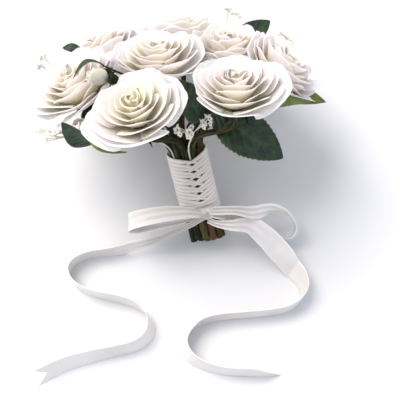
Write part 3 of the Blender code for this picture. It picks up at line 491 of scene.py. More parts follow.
def petalGrids(radius, ruffle, seed):
    # each petal is part of a bowl round the bloom's axis: its angle runs across it, its height and
    # reach follow the bowl's profile, its corners are cut round, its rim rolls out and ripples
    chance = np.random.default_rng(seed)
    count, bowls = rose["petals"], np.arange(len(roseBowls))
    pick = lambda low, high: chance.uniform(low, high, count)[:, None, None]
    bowl = np.interp(np.arange(count) / (count - 1), rose["bowlOrder"], bowls)
    inner = np.minimum(bowl.astype(int), bowls[-2])
    share = (bowl - inner)[:, None, None]
    profiles = np.array([smoothRoute(profile, 25) for profile in roseBowls])
    spines = profiles[inner] * (1 - share) + profiles[inner + 1] * share
    half = np.radians(np.interp(bowl, bowls, rose["bowlHalf"]) * chance.uniform(*rose["halfShare"], count))
    uneven = chance.uniform(-rose["turnUneven"], rose["turnUneven"], count)
    turns = np.radians(rose["turn"] * np.arange(count) + uneven)[:, None, None]
    up, across = np.linspace(0, 1, rose["rows"])[:, None] ** 0.85, acrossPetal(rose["columns"])
    outward = (bowl / bowls[-1])[:, None, None]
    point = pick(*rose["point"]) * np.exp(-(across / rose["pointWidth"]) ** 2)
    corner = 1 - np.sqrt(1 - np.abs(across) ** pick(*rose["cornerPower"]))
    length = (1 - rose["drop"] * corner + point) * pick(*rose["lengthShare"])
    profile = alongRows(spines, up * length) * radius
    rolled = np.clip((up - rose["rollFrom"]) / (1 - rose["rollFrom"]), 0, 1) ** 2
    roll = rose["roll"] * radius * pick(*rose["rollShare"]) * (.35 + .9 * outward) * rolled
    wave = rose["ruffle"] * ruffle * radius * (.3 + .7 * outward) * up ** 2
    ripple = wave * np.sin(math.pi * (pick(*rose["waves"]) * across + pick(0, 2)))
    fine = rose["fineRuffle"] * wave * up ** 3
    ripple = ripple + fine * np.sin(math.pi * (pick(*rose["fineWaves"]) * across + pick(0, 2)))
    reach = profile[..., 0] + roll + .55 * ripple + rose["tuck"] * radius * across * up
    height = profile[..., 1] - roll * (.2 + .9 * outward) + .8 * ripple
    angle = turns + half[:, None, None] * across * (.82 + .18 * np.sqrt(up))
    return stacked(reach * np.cos(angle), reach * np.sin(angle), height), up, 1 - outward, chance


def squeeze(points, centre, normal, wall):
    # draws points towards centre so that none lies much further than wall along normal: beyond a share
    # of the wall their reach is drawn in, more the further out they are
    reach = (points - centre) @ normal
    far = reach.max()
    if far <= np.min(wall):
        return points
    start = press["from"] * wall
    share = np.clip((reach - start) / (far - start), 0, None)
    steep = np.maximum((far - start) / (wall - start), 1)
    drawn = np.where(share > 0, start + (wall - start) * steep * share / (1 + (steep - 1) * share), reach)
    return points + (drawn - reach)[..., None] * normal


def addBloom(name, node, grids, rim, heart):
    # a bloom's petals as thin blades; their veins follow the distance across and along each petal in
    # metres, set 70 mm on from petal to petal
    widths = np.linalg.norm(np.diff(grids, axis=2), axis=-1).sum(axis=2).max(axis=1)[:, None, None]
    lengths = np.linalg.norm(np.diff(grids, axis=1), axis=-1).sum(axis=1).max(axis=1)[:, None, None]
    across = .5 * acrossPetal(grids.shape[2]) * widths + np.arange(len(grids))[:, None, None] * .07
    flow = stacked(across, np.linspace(0, 1, grids.shape[1])[:, None] * lengths)
    addBlades(name, node, layDown(grids), rose["thickness"], petalSkin,
              {"rim": rim, "heart": heart}, flow, clearance=.05)


def belowCrown(crown, face, depth):
    # the place a depth below a bloom's crown, against the way it faces, from millimetres
    return (np.array(crown) - face * depth) * mm


def growRoses():
    # each rose is drawn about its own axis, turned to face its way and hung from its crown; then it is drawn
    # in from the planes between it and its neighbours, from the surface and from a leaf that presses on it
    downward = -laidDown[:, 2]
    rooms = {"bud": (belowCrown(bud["crown"], facing(*bud["face"]), .85 * bud["length"]), bud["room"] * mm,
                     bud["rank"])}
    for name, (crown, turned, radius, spin, rank, ruffle) in roses.items():
        depth = (rose["crown"] - rose["middle"]) * radius
        rooms[name] = (belowCrown(crown, facing(*turned), depth), radius * mm, rank)
    for number, (name, (crown, turned, radius, spin, rank, ruffle)) in enumerate(roses.items()):
        grids, rim, heart, chance = petalGrids(radius * mm, ruffle, 40 + number)
        face = facing(*turned)
        cosine, sine = math.cos(math.radians(spin)), math.sin(math.radians(spin))
        grids = grids @ np.array(((cosine, sine, 0), (-sine, cosine, 0), (0, 0, 1.0))) @ axesAlong(face)
        grids = grids + belowCrown(crown, face, rose["crown"] * radius)
        centre, radius, rank = rooms[name]
        uneven = chance.uniform(-press["uneven"], press["uneven"], len(grids))[:, None, None] * mm
        for _ in range(2):
            for other, (otherCentre, otherRadius, otherRank) in rooms.items():
                apart = np.linalg.norm(otherCentre - centre)
                if other != name and apart < radius + otherRadius + 4 * press["gap"] * mm:
                    give = press["give"] + press["rankStep"] * (rank - otherRank)
                    wall = apart * radius / (radius + otherRadius) + give * mm + uneven
                    grids = squeeze(grids, centre, (otherCentre - centre) / apart, wall)
            grids = squeeze(grids, centre, downward, bunchPlace[2] - centre @ downward - press["gap"] * mm)
            if name in leafWalls:
                way, wall = leafWalls[name]
                grids = squeeze(grids, centre, unit(way), wall * mm + uneven)
        addBloom("bloom_" + name, "rose_" + name, grids, rim, heart)


def growBud():
    # petals wrapped round the bud's axis, each a band of a closed egg-shaped profile
    count = bud["petals"]
    scale = np.linspace(.55, 1.0, count)[:, None, None]
    spines = smoothRoute(bud["profile"], 25) * np.concatenate((scale, .97 + .03 * scale), axis=2)
    up, across = np.linspace(0, 1, bud["rows"])[:, None], np.linspace(-1, 1, bud["columns"])
    length = (1 - .16 * np.abs(across) ** 2.4) * np.linspace(1, .86, count)[:, None, None]
    points = alongRows(spines, up * length) * bud["radius"] * mm
    wound = np.radians(rose["turn"]) * np.arange(count)[:, None, None]
    angle = wound + np.radians(bud["halfAngle"]) * across + .5 * up
    reach = points[..., 0] * (1 + .13 * across) + bud["roll"] * mm * np.clip((up - .8) / .2, 0, 1) ** 2
    face = facing(*bud["face"])
    grids = stacked(reach * np.cos(angle), reach * np.sin(angle), points[..., 1]) @ axesAlong(face)
    grids = grids + belowCrown(bud["crown"], face, bud["length"])
    addBloom("bloom_bud", "rose_bud", grids, .30 + .35 * up, .7)


print("growing the roses")
growRoses()
growBud()


# Stems and leaves.

# stems (mm): cutFront, cutUneven and cutLeft raise the cut ends, cup is how far behind a bloom's seat its
# stem ends, a leaf's stalk is given by its radii at both ends, a leafy stem ends above the neck and its
# stalks leave it apart; greenFrom and greenOver are counted in rings
stemStyle = {"sides": 14, "rings": 30, "tip": 2.4, "rise": 0.38, "cutFront": 6.5, "cutUneven": 2.0,
             "cutLeft": 5.0, "cup": 9.0, "greenFrom": 18, "greenOver": 10, "node": 0.07, "nodeLength": 2.2,
             "budLeafStalk": (1.3, .8), "leafStalk": (2.0, .9), "above": 3.0, "apart": 2.3}
# sepals: their route out from the seat as (reach, height), and their width (mm)
roseSepals = {"route": ((3.5, -3.4), (9, -3.4), (15, -5.2), (22, -9)), "width": 3.6}
budSepals = {"route": ((3.5, -3.0), (7.5, -2.4), (10, .5), (11.6, 5)), "width": 3.4}
# place of each rose's stem in the bundle and how its bark has dried: 0 dark green, 1 reddish brown
roseStems = {
    "front_left": (("outer", -15), .60), "front_right": (("outer", 15), .84), "right": (("outer", 75), .35),
    "back_right": (("outer", 135), .5), "back": (("outer", -165), .45), "back_left": (("outer", -105), .3),
    "left": (("outer", -75), .10), "top_front": (("middle", 0), .5), "top_right": (("inner", 60), .7),
    "top_back": (("inner", 180), .5),
}
# each leaf is its base, tip, the way its upper side faces, its width and its arch
budStem = {"slot": ("outer", -45), "tone": .22,
           "leaf": ((-57, -43, 211), (-89, -48, 213), (.0, -.10, .99), 11, .30)}
# leafy stems: place, tone, then their leaves
leafyStems = {
    "front_right": (("outer", 45), .45, (((29, -32, 138), (81, -60, 84), (-.10, -.93, .36), 44, .08),)),
    "right": (("outer", 105), .4, (((94, 10, 115), (145, -7.5, 110.5), (.15, .80, .60), 34, .10),)),
    "back": (("outer", 165), .4, (((40, 64, 120), (58, 110, 124), (.20, .50, .80), 38, .10),)),
    "back_left": (("outer", -135), .3, (((-44, 60, 126), (-58, 112, 136), (-.30, .50, .80), 38, .10),)),
    "front_left": (("inner", -60), .2, (((-87, -35, 142), (-111, -46, 172), (-.35, -.85, -.35), 24, .10),
                                        ((-91, -41, 157), (-63, -76, 136), (.20, -.45, -.85), 16, .10))),
    "middle": (("inner", 0), .55, (((15, -44, 138), (-2, -70, 188), (.30, -.92, .25), 32, .06),)),
    "top_right": (("inner", 120), .5, (((74, 52, 169), (123, 66, 184), (0, -.86, .50), 25, .06),)),
    "top_left": (("inner", -120), .3, (((-71, 31, 213), (-88, 37, 221), (-.30, -.60, .70), 10, .20),)),
}
leafStyle = {"rows": 73, "columns": 23, "teeth": 17, "toothDepth": 0.075, "thickness": 0.4, "veins": 7,
             "veinHeight": 0.35, "veinSlant": 0.30, "fold": 0.22, "quilt": 0.22}


def footOf(slot):
    # where a stem stands in the bundle: on one of its rings, at an angle from the front
    ring, degrees = slot
    reach = {"middle": 0.0, "inner": bunch["innerRing"], "outer": bunch["outerRing"]}[ring] * mm
    angle = math.radians(degrees)
    return np.array((reach * math.sin(angle), -reach * math.cos(angle), 0.0))


def cutPlace(slot):
    # the stems are cut unevenly: those at the front and at the left end a little higher
    foot = footOf(slot)
    x, y = foot[:2] / mm
    front, left = max(0.0, -y) / bunch["outerRing"], max(0.0, -x) / bunch["outerRing"]
    beside = min(1.0, max(0.0, 0.6 - y / bunch["outerRing"]))
    uneven = stemStyle["cutFront"] + stemStyle["cutUneven"] * math.sin(x)
    return foot + (front * uneven + stemStyle["cutLeft"] * left * beside) * mm * stemWay


def stemShape(path, radii, tone, seed):
    # a stalk with three swollen nodes and a slow wobble, and its numbers for the finish: bark tone, cut end,
    # and distance across and along
    chance = np.random.default_rng(seed)
    length = runningLength(path) / mm
    bumps = sum(stemStyle["node"] * np.exp(-((length - spot) / stemStyle["nodeLength"]) ** 2)
                for spot in chance.uniform(5, length[-1], 3))
    slow = .025 * np.sin(length / 9 + chance.uniform(0, 6))
    wobble = slow + .015 * np.sin(length / 3.7 + chance.uniform(0, 6))
    sides = stemStyle["sides"]
    shape = stalk(path, radii * (1 + bumps + wobble), sides)
    cut = np.zeros((len(path) + 4, sides))
    cut[:2] = 1
    folded = np.abs(2 * np.arange(sides) / sides - 1) * .011 + seed * .03
    flow = stacked(folded, withEnds(length * mm)[:, None]).reshape(-1, 2)
    return shape, np.full(len(shape[0]), tone), cut.ravel(), flow


def addStem(name, node, stem, extras, tone):
    # a stem joined with the shapes that grow from it, which have one tone and no cut end
    main, tones, cuts, flow = stem
    points, groups = joined([main] + extras)
    added = points[len(main[0]):]
    values = {"tone": np.concatenate((tones, np.full(len(added), tone))),
              "cut": np.concatenate((cuts, np.zeros(len(added))))}
    addPiece(name, node, (layDown(points), groups), stemBark, values,
             np.concatenate((flow, added[:, :2])))


def sepalShape(seat, face, style, rows=13, columns=7, count=5):
    # thin pointed leaves round the bloom's seat, each a strip along its route that narrows to a tip
    reach, height = (smoothRoute(style["route"], rows) * mm).T[..., None]
    share = np.linspace(0, 1, rows)
    swell = .35 + .65 * np.sin(math.pi * np.clip(share * 1.1 + .12, 0, 1))
    half = style["width"] * mm * swell * (1 - share ** 2.5) + .2 * mm
    sideways = half[:, None] * np.linspace(-1, 1, columns)
    turns = fullTurn(count)[:, None, None]
    grids = stacked(reach * np.cos(turns) - sideways * np.sin(turns),
                    reach * np.sin(turns) + sideways * np.cos(turns), height - .12 * np.abs(sideways))
    return blades(grids @ axesAlong(face) + seat, .5 * mm)


def calyxCup(seat, face):
    # a cup turned round the bloom's axis, swelling from the stem to the seat
    stations = ((stemStyle["tip"], -14), (2.8, -11.5), (4.9, -8), (5.6, -5), (5.0, -2.2), (3.6, -.6))
    profile = smoothRoute(stations, 14) * mm
    return stalk(seat + np.outer(profile[:, 1], face), profile[:, 0], 16)


def growFlowerStem(name, crown, turned, depth, slot, tone, sepals, seed, sideLeaf=None):
    # a stem that runs straight up the bundle and then bends to the back of its bloom, turning green on the
    # way, with a cup and sepals at its end and, on the bud's, a leaf
    face = facing(*turned)
    seat = belowCrown(crown, face, depth)
    rings, thick = stemStyle["rings"], bunch["stemRadius"]
    neck = footOf(slot) + bunch["neck"] * mm * stemWay
    end = seat - face * stemStyle["cup"] * mm
    reach = np.linalg.norm(end - neck)
    curve = bend(neck, stemStyle["rise"] * reach * stemWay, end, face * .33 * reach, rings)
    path = np.vstack((np.linspace(cutPlace(slot), neck, rings)[:-1], curve))
    radii = np.concatenate((np.full(rings - 1, thick), np.linspace(thick, stemStyle["tip"], rings))) * mm
    main, tones, cuts, flow = stemShape(path, radii, tone, seed)
    green = np.clip((np.arange(len(path) + 4) - stemStyle["greenFrom"]) / stemStyle["greenOver"], 0, 1)
    tones = np.repeat(green, stemStyle["sides"]) * (.20 + .08 * (7 * seed % 5) - tone) + tones
    extras = [calyxCup(seat, face), sepalShape(seat, face, sepals)]
    if sideLeaf:
        path, blade = leafParts(*sideLeaf, start=curve[18], rise=.3)
        extras.append(stalk(path, np.linspace(*stemStyle["budLeafStalk"], len(path)) * mm, 8))
    addStem("stalk_" + name, "stem_" + name, (main, tones, cuts, flow), extras, .14)
    if sideLeaf:
        addLeaves("blade_" + name, "stem_" + name, [blade])


def leafSurface(base, tip, face, width, arch):
    # a leaf as a grid: its midrib is an arch from base to tip, its halves fold up a little, its outline
    # is a pointed oval cut by teeth that lean to the tip, and ridges mark the midrib and side veins
    base, tip = np.array(base, float) * mm, np.array(tip, float) * mm
    length = np.linalg.norm(tip - base)
    along = unit(tip - base)
    up = unit(np.array(face, float) - along * np.dot(face, along))
    side = np.cross(along, up)
    t = np.linspace(0, 1, leafStyle["rows"])[:, None]
    u = np.linspace(-1, 1, leafStyle["columns"])[None, :]
    out = np.abs(u)
    half = .5 * width * mm * np.sin(math.pi * t ** .82) ** .75
    half = np.maximum(half, np.linspace(1.0, .3, leafStyle["rows"])[:, None] * mm)
    saw = (t * leafStyle["teeth"]) % 1.0
    tooth = 1 - leafStyle["toothDepth"] * (1 - saw) * out ** 8 * np.sin(math.pi * np.clip(t, .02, .98)) ** .3
    lean = .35 / leafStyle["teeth"] * out ** 6 * np.sin(math.pi * t)
    wave = .05 * half * np.sin(9 * t + 2 * np.sign(u)) * out ** 2
    rise = arch * length * np.sin(math.pi * t) - .05 * length * t ** 2 + leafStyle["fold"] * out * half + wave
    slanted = (t - leafStyle["veinSlant"] * out * (1 - .35 * t)) * leafStyle["veins"] + .5
    sideVein = np.exp(-((slanted % 1.0 - .5) / .09) ** 2) * np.clip(1.1 - out, 0, 1) * (out > .04)
    midrib = np.exp(-(u * half / (.9 * mm)) ** 2) * np.clip(1.15 - t, 0, 1)
    vein = np.clip(sideVein * np.clip(slanted, 0, 1) + midrib, 0, 1)
    quilt = leafStyle["quilt"] * mm * np.cos(2 * math.pi * slanted) * np.sin(math.pi * out)
    rise = rise - leafStyle["veinHeight"] * mm * vein + quilt
    points = base + (length * (t + lean))[..., None] * along + (u * half * tooth)[..., None] * side
    edge = np.clip((out - .90) / .10, 0, 1) * np.ones_like(t)
    return points + rise[..., None] * up, vein, edge


def leafParts(base, tip, face, width, arch, start, rise=stemStyle["rise"]):
    # the stalk that bends up from its stem to a leaf, and the leaf's grid with its numbers
    surface = leafSurface(base, tip, face, width, arch)
    midrib = surface[0][:, leafStyle["columns"] // 2]
    before, joint = (midrib[int(share * leafStyle["rows"])] for share in (.06, .12))
    reach = np.linalg.norm(joint - start)
    path = bend(start, rise * reach * stemWay, joint, unit(joint - before) * .25 * reach, 24)
    return path, surface + (np.array(face, float),)


def addLeaves(name, node, surfaces):
    # leaves as thin blades; a blade's first face is the upper one where its grid's normals point the way
    # the leaf faces
    grids, vein, edge, faces = (np.array(column) for column in zip(*surfaces))
    below = np.zeros((len(grids), 2) + vein.shape[1:])
    below[:, 1] = 1
    normals = gridNormals(grids)[:, leafStyle["rows"] // 2, leafStyle["columns"] // 2]
    upper = np.sum(normals * faces, axis=1)[:, None, None, None] > 0
    shape = blades(layDown(grids), leafStyle["thickness"] * mm)
    below = np.where(upper, below, 1 - below)
    addPiece(name, node, shape, leafSkin,
             {"under": below.ravel(), "vein": bothSides(vein), "margin": bothSides(edge)})


def growStems():
    for number, (name, (slot, tone)) in enumerate(roseStems.items()):
        crown, turned, radius = roses[name][:3]
        growFlowerStem(name, crown, turned, rose["crown"] * radius, slot, tone, roseSepals, number)
    growFlowerStem("bud", bud["crown"], bud["face"], bud["length"], budStem["slot"], budStem["tone"],
                   budSepals, 20, budStem["leaf"])


def growLeaves():
    # a leafy stem ends just above the neck, where its leaves' stalks leave it one below the other
    for number, (name, (slot, tone, leaves)) in enumerate(leafyStems.items()):
        neck = footOf(slot) + bunch["neck"] * mm * stemWay
        straight = np.linspace(cutPlace(slot), neck + stemStyle["above"] * mm * stemWay, 32)
        radii = np.full(len(straight), bunch["stemRadius"]) * mm
        radii[-2:] *= (.92, .75)
        extras, surfaces = [], []
        for spare, leaf in enumerate(leaves):
            path, surface = leafParts(*leaf, start=neck - stemStyle["apart"] * spare * mm * stemWay)
            extras.append(stalk(path, np.linspace(*stemStyle["leafStalk"], len(path)) * mm, 8))
            surfaces.append(surface)
        addStem("twig_" + name, "leaf_" + name, stemShape(straight, radii, tone, 30 + number), extras, .2)
        addLeaves("blade_" + name, "leaf_" + name, surfaces)


print("growing the stems and leaves")
growStems()
growLeaves()


# Filler blossoms.

# groove of the bundle each stalk comes from (degrees), blossoms in a cluster and the clusters' places
fillers = {
    "front": (0, 3, ((16, -50, 136), (-9, -52, 137), (1, -55, 133), (22, -52, 139))),
    "left": (-60, 5, ((-93, -28, 164), (-118, -29, 162), (-134, -23, 166), (-128, -31, 158))),
    "top_left": (-90, 3, ((-114, 44, 209), (-109, 46, 216))),
    "top_right": (150, 3, ((87, 88, 201), (93, 83, 195))),
    "right": (90, 3, ((131, 32, 168), (126, 35, 175))),
}
# a cluster's blossoms: how far they spread two ways from its middle, and their radius (mm)
floret = {"stalkRing": 16.45, "stalkRadius": 0.8, "bottom": 62.0, "twig": 0.45, "twigTone": 0.42,
          "corners": 30, "spread": 4.4, "droop": 1.6,
          "cluster": ((0, 0, 4.3), (.9, .3, 3.1), (-.9, -.3, 3.1), (.2, 1.2, 3.1), (-.2, -1.2, 3.1))}
# a blossom's section from its eye over the rim and back underneath: (reach, height) as shares of its radius
floretSection = ((.03, .12), (.14, .14), (.30, .10), (.55, .20), (.80, .34), (.96, .36), (1.0, .28),
                 (.93, .18), (.60, .02), (.22, -.22), (.03, -.30))


def floretShape(centre, face, radius, turn):
    # a shallow cup whose rim swells into five round petals, closed underneath
    around = fullTurn(floret["corners"])
    share, height = np.array(floretSection).T[..., None]
    petals = .72 + .28 * np.abs(np.cos(2.5 * (around + turn))) ** .7
    reach = radius * mm * share * (1 + (petals - 1) * np.clip(share * 1.3 - .2, 0, 1))
    lift = radius * mm * height * (1 + .25 * np.cos(5 * (around + turn)))
    grid = stacked(reach * np.cos(around), reach * np.sin(around), lift) @ axesAlong(face) + centre
    eye = np.repeat(np.clip((.34 - share) / .2, 0, 1) * (height > .05), len(around))
    faces = [group[:, ::-1] for group in tubeFaces(len(share), len(around))]
    return (grid.reshape(-1, 3), faces), eye


def growFillers():
    # a stalk up a groove of the bundle to a fork, from which twigs run on to clusters of blossoms
    for number, (name, (degrees, blossoms, places)) in enumerate(fillers.items()):
        chance = np.random.default_rng(90 + number)
        angle, ring = math.radians(degrees), floret["stalkRing"]
        foot = np.array((ring * math.sin(angle), -ring * math.cos(angle), floret["bottom"])) * mm
        neck = foot + (bunch["neck"] - floret["bottom"]) * mm * stemWay
        places = np.array(places, float) * mm
        middle = places.mean(axis=0)
        fork = neck + .8 * (middle - neck)
        reach = np.linalg.norm(fork - neck)
        curve = bend(neck, .3 * reach * stemWay, fork, unit(middle - neck) * .3 * reach, 16)
        parts = [stalk(np.vstack((np.linspace(foot, neck, 8)[:-1], curve)), floret["stalkRadius"] * mm, 8)]
        eyes = [np.full(len(parts[0][0]), floret["twigTone"])]
        for centre in places:
            out = unit(centre - fork)
            side = unit(np.cross(out, chance.normal(size=3)))
            rest = np.cross(out, side)
            for offset, beside, size in floret["cluster"][:blossoms]:
                spread = side * offset + rest * beside
                droop = out * np.linalg.norm(spread) * floret["droop"]
                spot = centre + (spread * floret["spread"] - droop) * mm
                face = unit(out + .45 * spread + chance.normal(size=3) * .15)
                path = bend(fork, out * .3 * reach, spot - face * .25 * size * mm, face * 1.2 * mm, 8)
                twig = stalk(path, floret["twig"] * mm, 6)
                flower, eye = floretShape(spot, face, size, chance.uniform(0, 6))
                parts += [twig, flower]
                eyes += [np.full(len(twig[0]), floret["twigTone"]), eye]
        points, groups = joined(parts)
        addPiece("florets_" + name, "filler_" + name, (layDown(points), groups), floretSkin,
                 {"eye": np.concatenate(eyes)})


print("adding the filler blossoms")
growFillers()


# Ribbon wound round the stems.

# millimetres, but dipWithin, narrowWithin, crossWithin and past are degrees from the front; the weave's
# radii turn angles into distances for the finish
wrap = {"bottom": 43.8, "pitch": 3.87, "turns": 14, "radius": 19.05, "stand": 1.1, "width": 4.7,
        "frontWidth": 2.35, "dip": 3.0, "frontDip": 2.4, "past": 17.0, "thickness": 0.4, "spread": 0.8,
        "rows": 121, "columns": 5, "dipWithin": 85, "narrowWithin": 38, "crossWithin": 13, "turnLength": 130,
        "uneven": 0.25, "widthUneven": (-.25, .35), "lift": 0.30, "tuck": 0.55, "arch": 0.18}
band = {"bottom": 33.0, "top": 43.4, "inner": 18.3, "wall": 2.2, "pleats": 3, "columns": 120, "outerRows": 20,
        "innerRows": 6, "weaveRadius": 19.5}
knot = {"size": (14.5, 9.5, 11.5), "centre": (2.0, -25.0, 38.2), "columns": 72, "rows": 30, "folds": 9,
        "creases": 17, "weaveRadii": (5.0, 4.0)}


def windRibbon():
    # each turn is a strip that starts past the front, runs round the back and ends past the front again,
    # dipping and narrowing towards the front, where its two ends cross over and under
    chance = np.random.default_rng(3)
    turn = np.arange(wrap["turns"])[:, None]
    share = np.linspace(0, 1, wrap["rows"])
    swept = share * (360 + 2 * wrap["past"]) - wrap["past"]
    outgoing, even = swept < 180, turn % 2 == 0
    fromFront = np.where(outgoing, swept, 360 - swept)    # negative past the front
    near = np.clip(1 - fromFront / wrap["narrowWithin"], 0, 1.4)
    closeBy = np.clip(near, 0, 1)
    dip = wrap["dip"] * np.clip(1 - fromFront / wrap["dipWithin"], 0, 1.3) + wrap["frontDip"] * near ** 1.5
    height = wrap["bottom"] + (turn + .5) * wrap["pitch"] - np.minimum(1, turn / 2) * dip
    height = height + np.where(even, -1.0, 1.0) * wrap["spread"] * closeBy
    height = height + wrap["uneven"] * np.sin(np.radians(fromFront) * 3 + chance.uniform(0, 6, turn.shape))
    narrowed = wrap["frontWidth"] + chance.uniform(*wrap["widthUneven"], turn.shape) - wrap["width"]
    width = wrap["width"] + narrowed * closeBy
    over = np.where(even == outgoing, -1.0, 1.0)
    crossing = np.exp(-(fromFront / wrap["crossWithin"]) ** 2)
    tucked = np.clip(-fromFront / wrap["past"], 0, 1) ** 1.5
    radius = wrap["radius"] + .12 + wrap["lift"] * crossing * over - wrap["tuck"] * tucked
    angle = np.radians(np.where(outgoing, -swept, 360 - swept))[:, None]
    across = np.linspace(-.5, .5, wrap["columns"])
    stand = wrap["stand"] * (1 - .6 * crossing)[:, None]
    out = radius[..., None] + stand * (.5 - across) + wrap["arch"] * np.cos(2 * math.pi * across)
    level = height[..., None] + width[..., None] * across
    grids = stacked(out * np.sin(angle), -out * np.cos(angle), level)[:, :, ::-1] * mm
    flow = stacked(across * wrap["width"] * mm, share[:, None] * wrap["turnLength"] * mm)
    # painted shade: both edges of each strip are darkened, where it meets and tucks under the next strip
    edge = np.clip((np.abs(across) - .34) / .16, 0, 1) * .55
    addBlades("wound_ribbon", "handle_wrap", layDown(grids), wrap["thickness"], wrapSatin,
              {"selvedgeAndTuckShade": edge}, flow, clearance=0)


def bindBand():
    # a sleeve whose closed wall section swells outwards and is creased by slanting pleats: its rows run up
    # the outside and back down the inside
    outside = np.repeat((1.0, 0.0), (band["outerRows"], band["innerRows"]))[:, None]
    upAndDown = np.linspace(0, 1, band["outerRows"]), np.linspace(1, 0, band["innerRows"])
    share = np.concatenate(upAndDown)[:, None]
    around = fullTurn(band["columns"])
    slant = band["pleats"] * share + .8 * np.sin(around) + .35 * np.sin(3 * around)
    crease = np.abs(np.sin(math.pi * slant))
    swell = (.35 + .65 * np.sin(math.pi * share) ** .5) * (.62 + .38 * crease)
    radius = band["inner"] + .1 + outside * band["wall"] * swell
    level = share * (band["top"] - band["bottom"])
    grid = stacked(radius * np.sin(around), -radius * np.cos(around), band["bottom"] + level) * mm
    flow = stacked(level * mm, around * band["weaveRadius"] * mm).reshape(-1, 2)
    faces = gridFaces(len(share), len(around), closedAcross=True, closedUp=True)
    # painted shade: the fold number darkens the sleeve along the grooves of its pleats
    addPiece("bound_band", "bow_band", (layDown(grid.reshape(-1, 3)), [faces]), bowSatin,
             {"fold": (np.clip(1 - crease * 2.2, 0, 1) * .9).ravel()}, flow)


def tieKnot():
    # a rounded block whose corners come from sines and cosines raised to a power, its sides gathered into
    # folds that run from end to end and its middle pinched
    around = fullTurn(knot["columns"])
    rise = np.linspace(-math.pi / 2 + .05, math.pi / 2 - .05, knot["rows"])[:, None]
    squared = lambda wave, power: np.sign(wave) * np.abs(wave) ** power
    gather = np.sin(knot["folds"] * around + 1.2 * rise + .6 * np.sin(3 * around))
    folds = 1 + .09 * gather * np.cos(rise) ** .5 + .04 * np.sin(knot["creases"] * around - 2 * rise)
    width, depth, height = knot["size"]
    x = .5 * width * squared(np.cos(rise), .55) * squared(np.cos(around), .7) * folds
    y = .5 * depth * squared(np.cos(rise), .55) * squared(np.sin(around), .7) * folds
    z = .5 * height * squared(np.sin(rise), .75)
    pinch = 1 - .16 * np.cos(math.pi * z / height) ** 2
    grid = (stacked(x * pinch, y, z) + np.array(knot["centre"])) * mm
    flow = (stacked(around, rise) * knot["weaveRadii"] * mm).reshape(-1, 2)
    # painted shade: the fold number darkens the knot in the hollows between its gathered folds, most at its
    # middle height
    fold = np.clip(-gather, 0, 1) * np.cos(rise) ** 2 * .8
    shape = layDown(grid.reshape(-1, 3)), tubeFaces(len(rise), len(around))
    addPiece("tied_knot", "bow_knot", shape, bowSatin, {"fold": fold.ravel()}, flow)


print("winding the ribbon")
windRibbon()
bindBand()
tieKnot()


# Bow loops and tails.

ribbon = {"width": 24.0, "thickness": 0.35, "columns": 15, "cutLength": 34.0, "pleatDepth": 1.8,
          "pleats": 2.5, "sway": 0.5, "swayLength": 21.0}
# routes (mm, from the stem foot): where a tail hangs, x, y, height, width and how far its width stands up
# (degrees), and where it lies on the surface at its full width, x, y and how far its width stands up
tails = {
    "left": {"hand": -1, "notch": 13.0, "slant": 0.0, "hanging": (
        (8, 12, 57.5, 5, 35), (2, 9.4, 60.4, 5.5, 35), (-6, 8.0, 59, 5.5, 40), (-18, 6.2, 54.5, 5.2, 45),
        (-31, 7, 48, 5.5, 50), (-45, 9, 37, 7, 60), (-60, 12, 24, 11.5, 68), (-78, 16, 14, 19, 78)),
        "lying": (
        (-98, 18, 88), (-118, 21, 90), (-133, 19, 90), (-142, 12, 90), (-142, 0, 90), (-134, -12, 90),
        (-121, -22, 90), (-106, -31, 92), (-92, -41, 92), (-83, -52, 84), (-80, -66, 72), (-88, -78, 74),
        (-103, -83, 77), (-123, -82, 76), (-145, -80, 72), (-172, -79, 69), (-203, -84, 64))},
    "right": {"hand": 1, "notch": 0.0, "slant": 26.0, "hanging": (
        (1, 6.5, 53.5, 6, 30), (8.6, 1.0, 51.0, 7, 30), (22, -5.4, 52.0, 11, 26), (39, -10, 50, 17, 24),
        (51, -22, 40, 22, 26), (60, -34, 28, 24, 32), (68, -47, 17, 24, 42)),
        "lying": (
        (75, -62, 57), (76, -76, 72), (70, -86, 84), (55, -92, 90), (35, -90, 90), (12, -85, 90),
        (-12, -80, 90), (-31, -79, 88), (-46, -85, 80), (-55, -95, 74), (-54, -108, 74), (-45, -120, 80),
        (-28, -132, 84), (-8, -140, 86), (10, -146, 85), (27, -149, 84))},
}
# loops: x, y, height, width, turn of the width from the bow's own face (0) to edge on (90)
loops = {
    "left": (
        (-1, 12, 60, 7, 0), (-4.2, 12, 61, 9, 0), (-17, 15.2, 67, 13, 0), (-37, 20, 68, 17, 0),
        (-58, 24, 64, 19, 0), (-71, 27, 56, 20, 0), (-73, 28, 47, 20, 0), (-62, 27, 40, 20, 0),
        (-46, 24, 41, 18, 0), (-30, 19.2, 47, 15, 0), (-16, 14.8, 53.6, 11, 0), (-4.2, 12.6, 57.4, 9, 0),
        (-1, 12.4, 57, 7, 0)),
    "right": (
        (5, 12, 60.5, 7, 0), (7.3, 11.4, 61.2, 9, 0), (28, 5.4, 61.6, 10, 0), (46, -1, 58, 13, 25),
        (65, -1, 51, 17, 62), (79, -6, 39, 20, 85), (85, -16, 26, 21, 90), (78, -23, 17, 21, 90),
        (63, -17, 18, 20, 80), (48, -9, 27, 16, 45), (33, 0, 39, 12, 10), (19, 6, 51, 10, 0),
        (7.3, 10.4, 56.6, 9, 0), (5, 10.6, 56, 7, 0)),
}
bowFace, bowEdge = unit((.30, .94, -.16)), unit((-.11, -.34, .93))


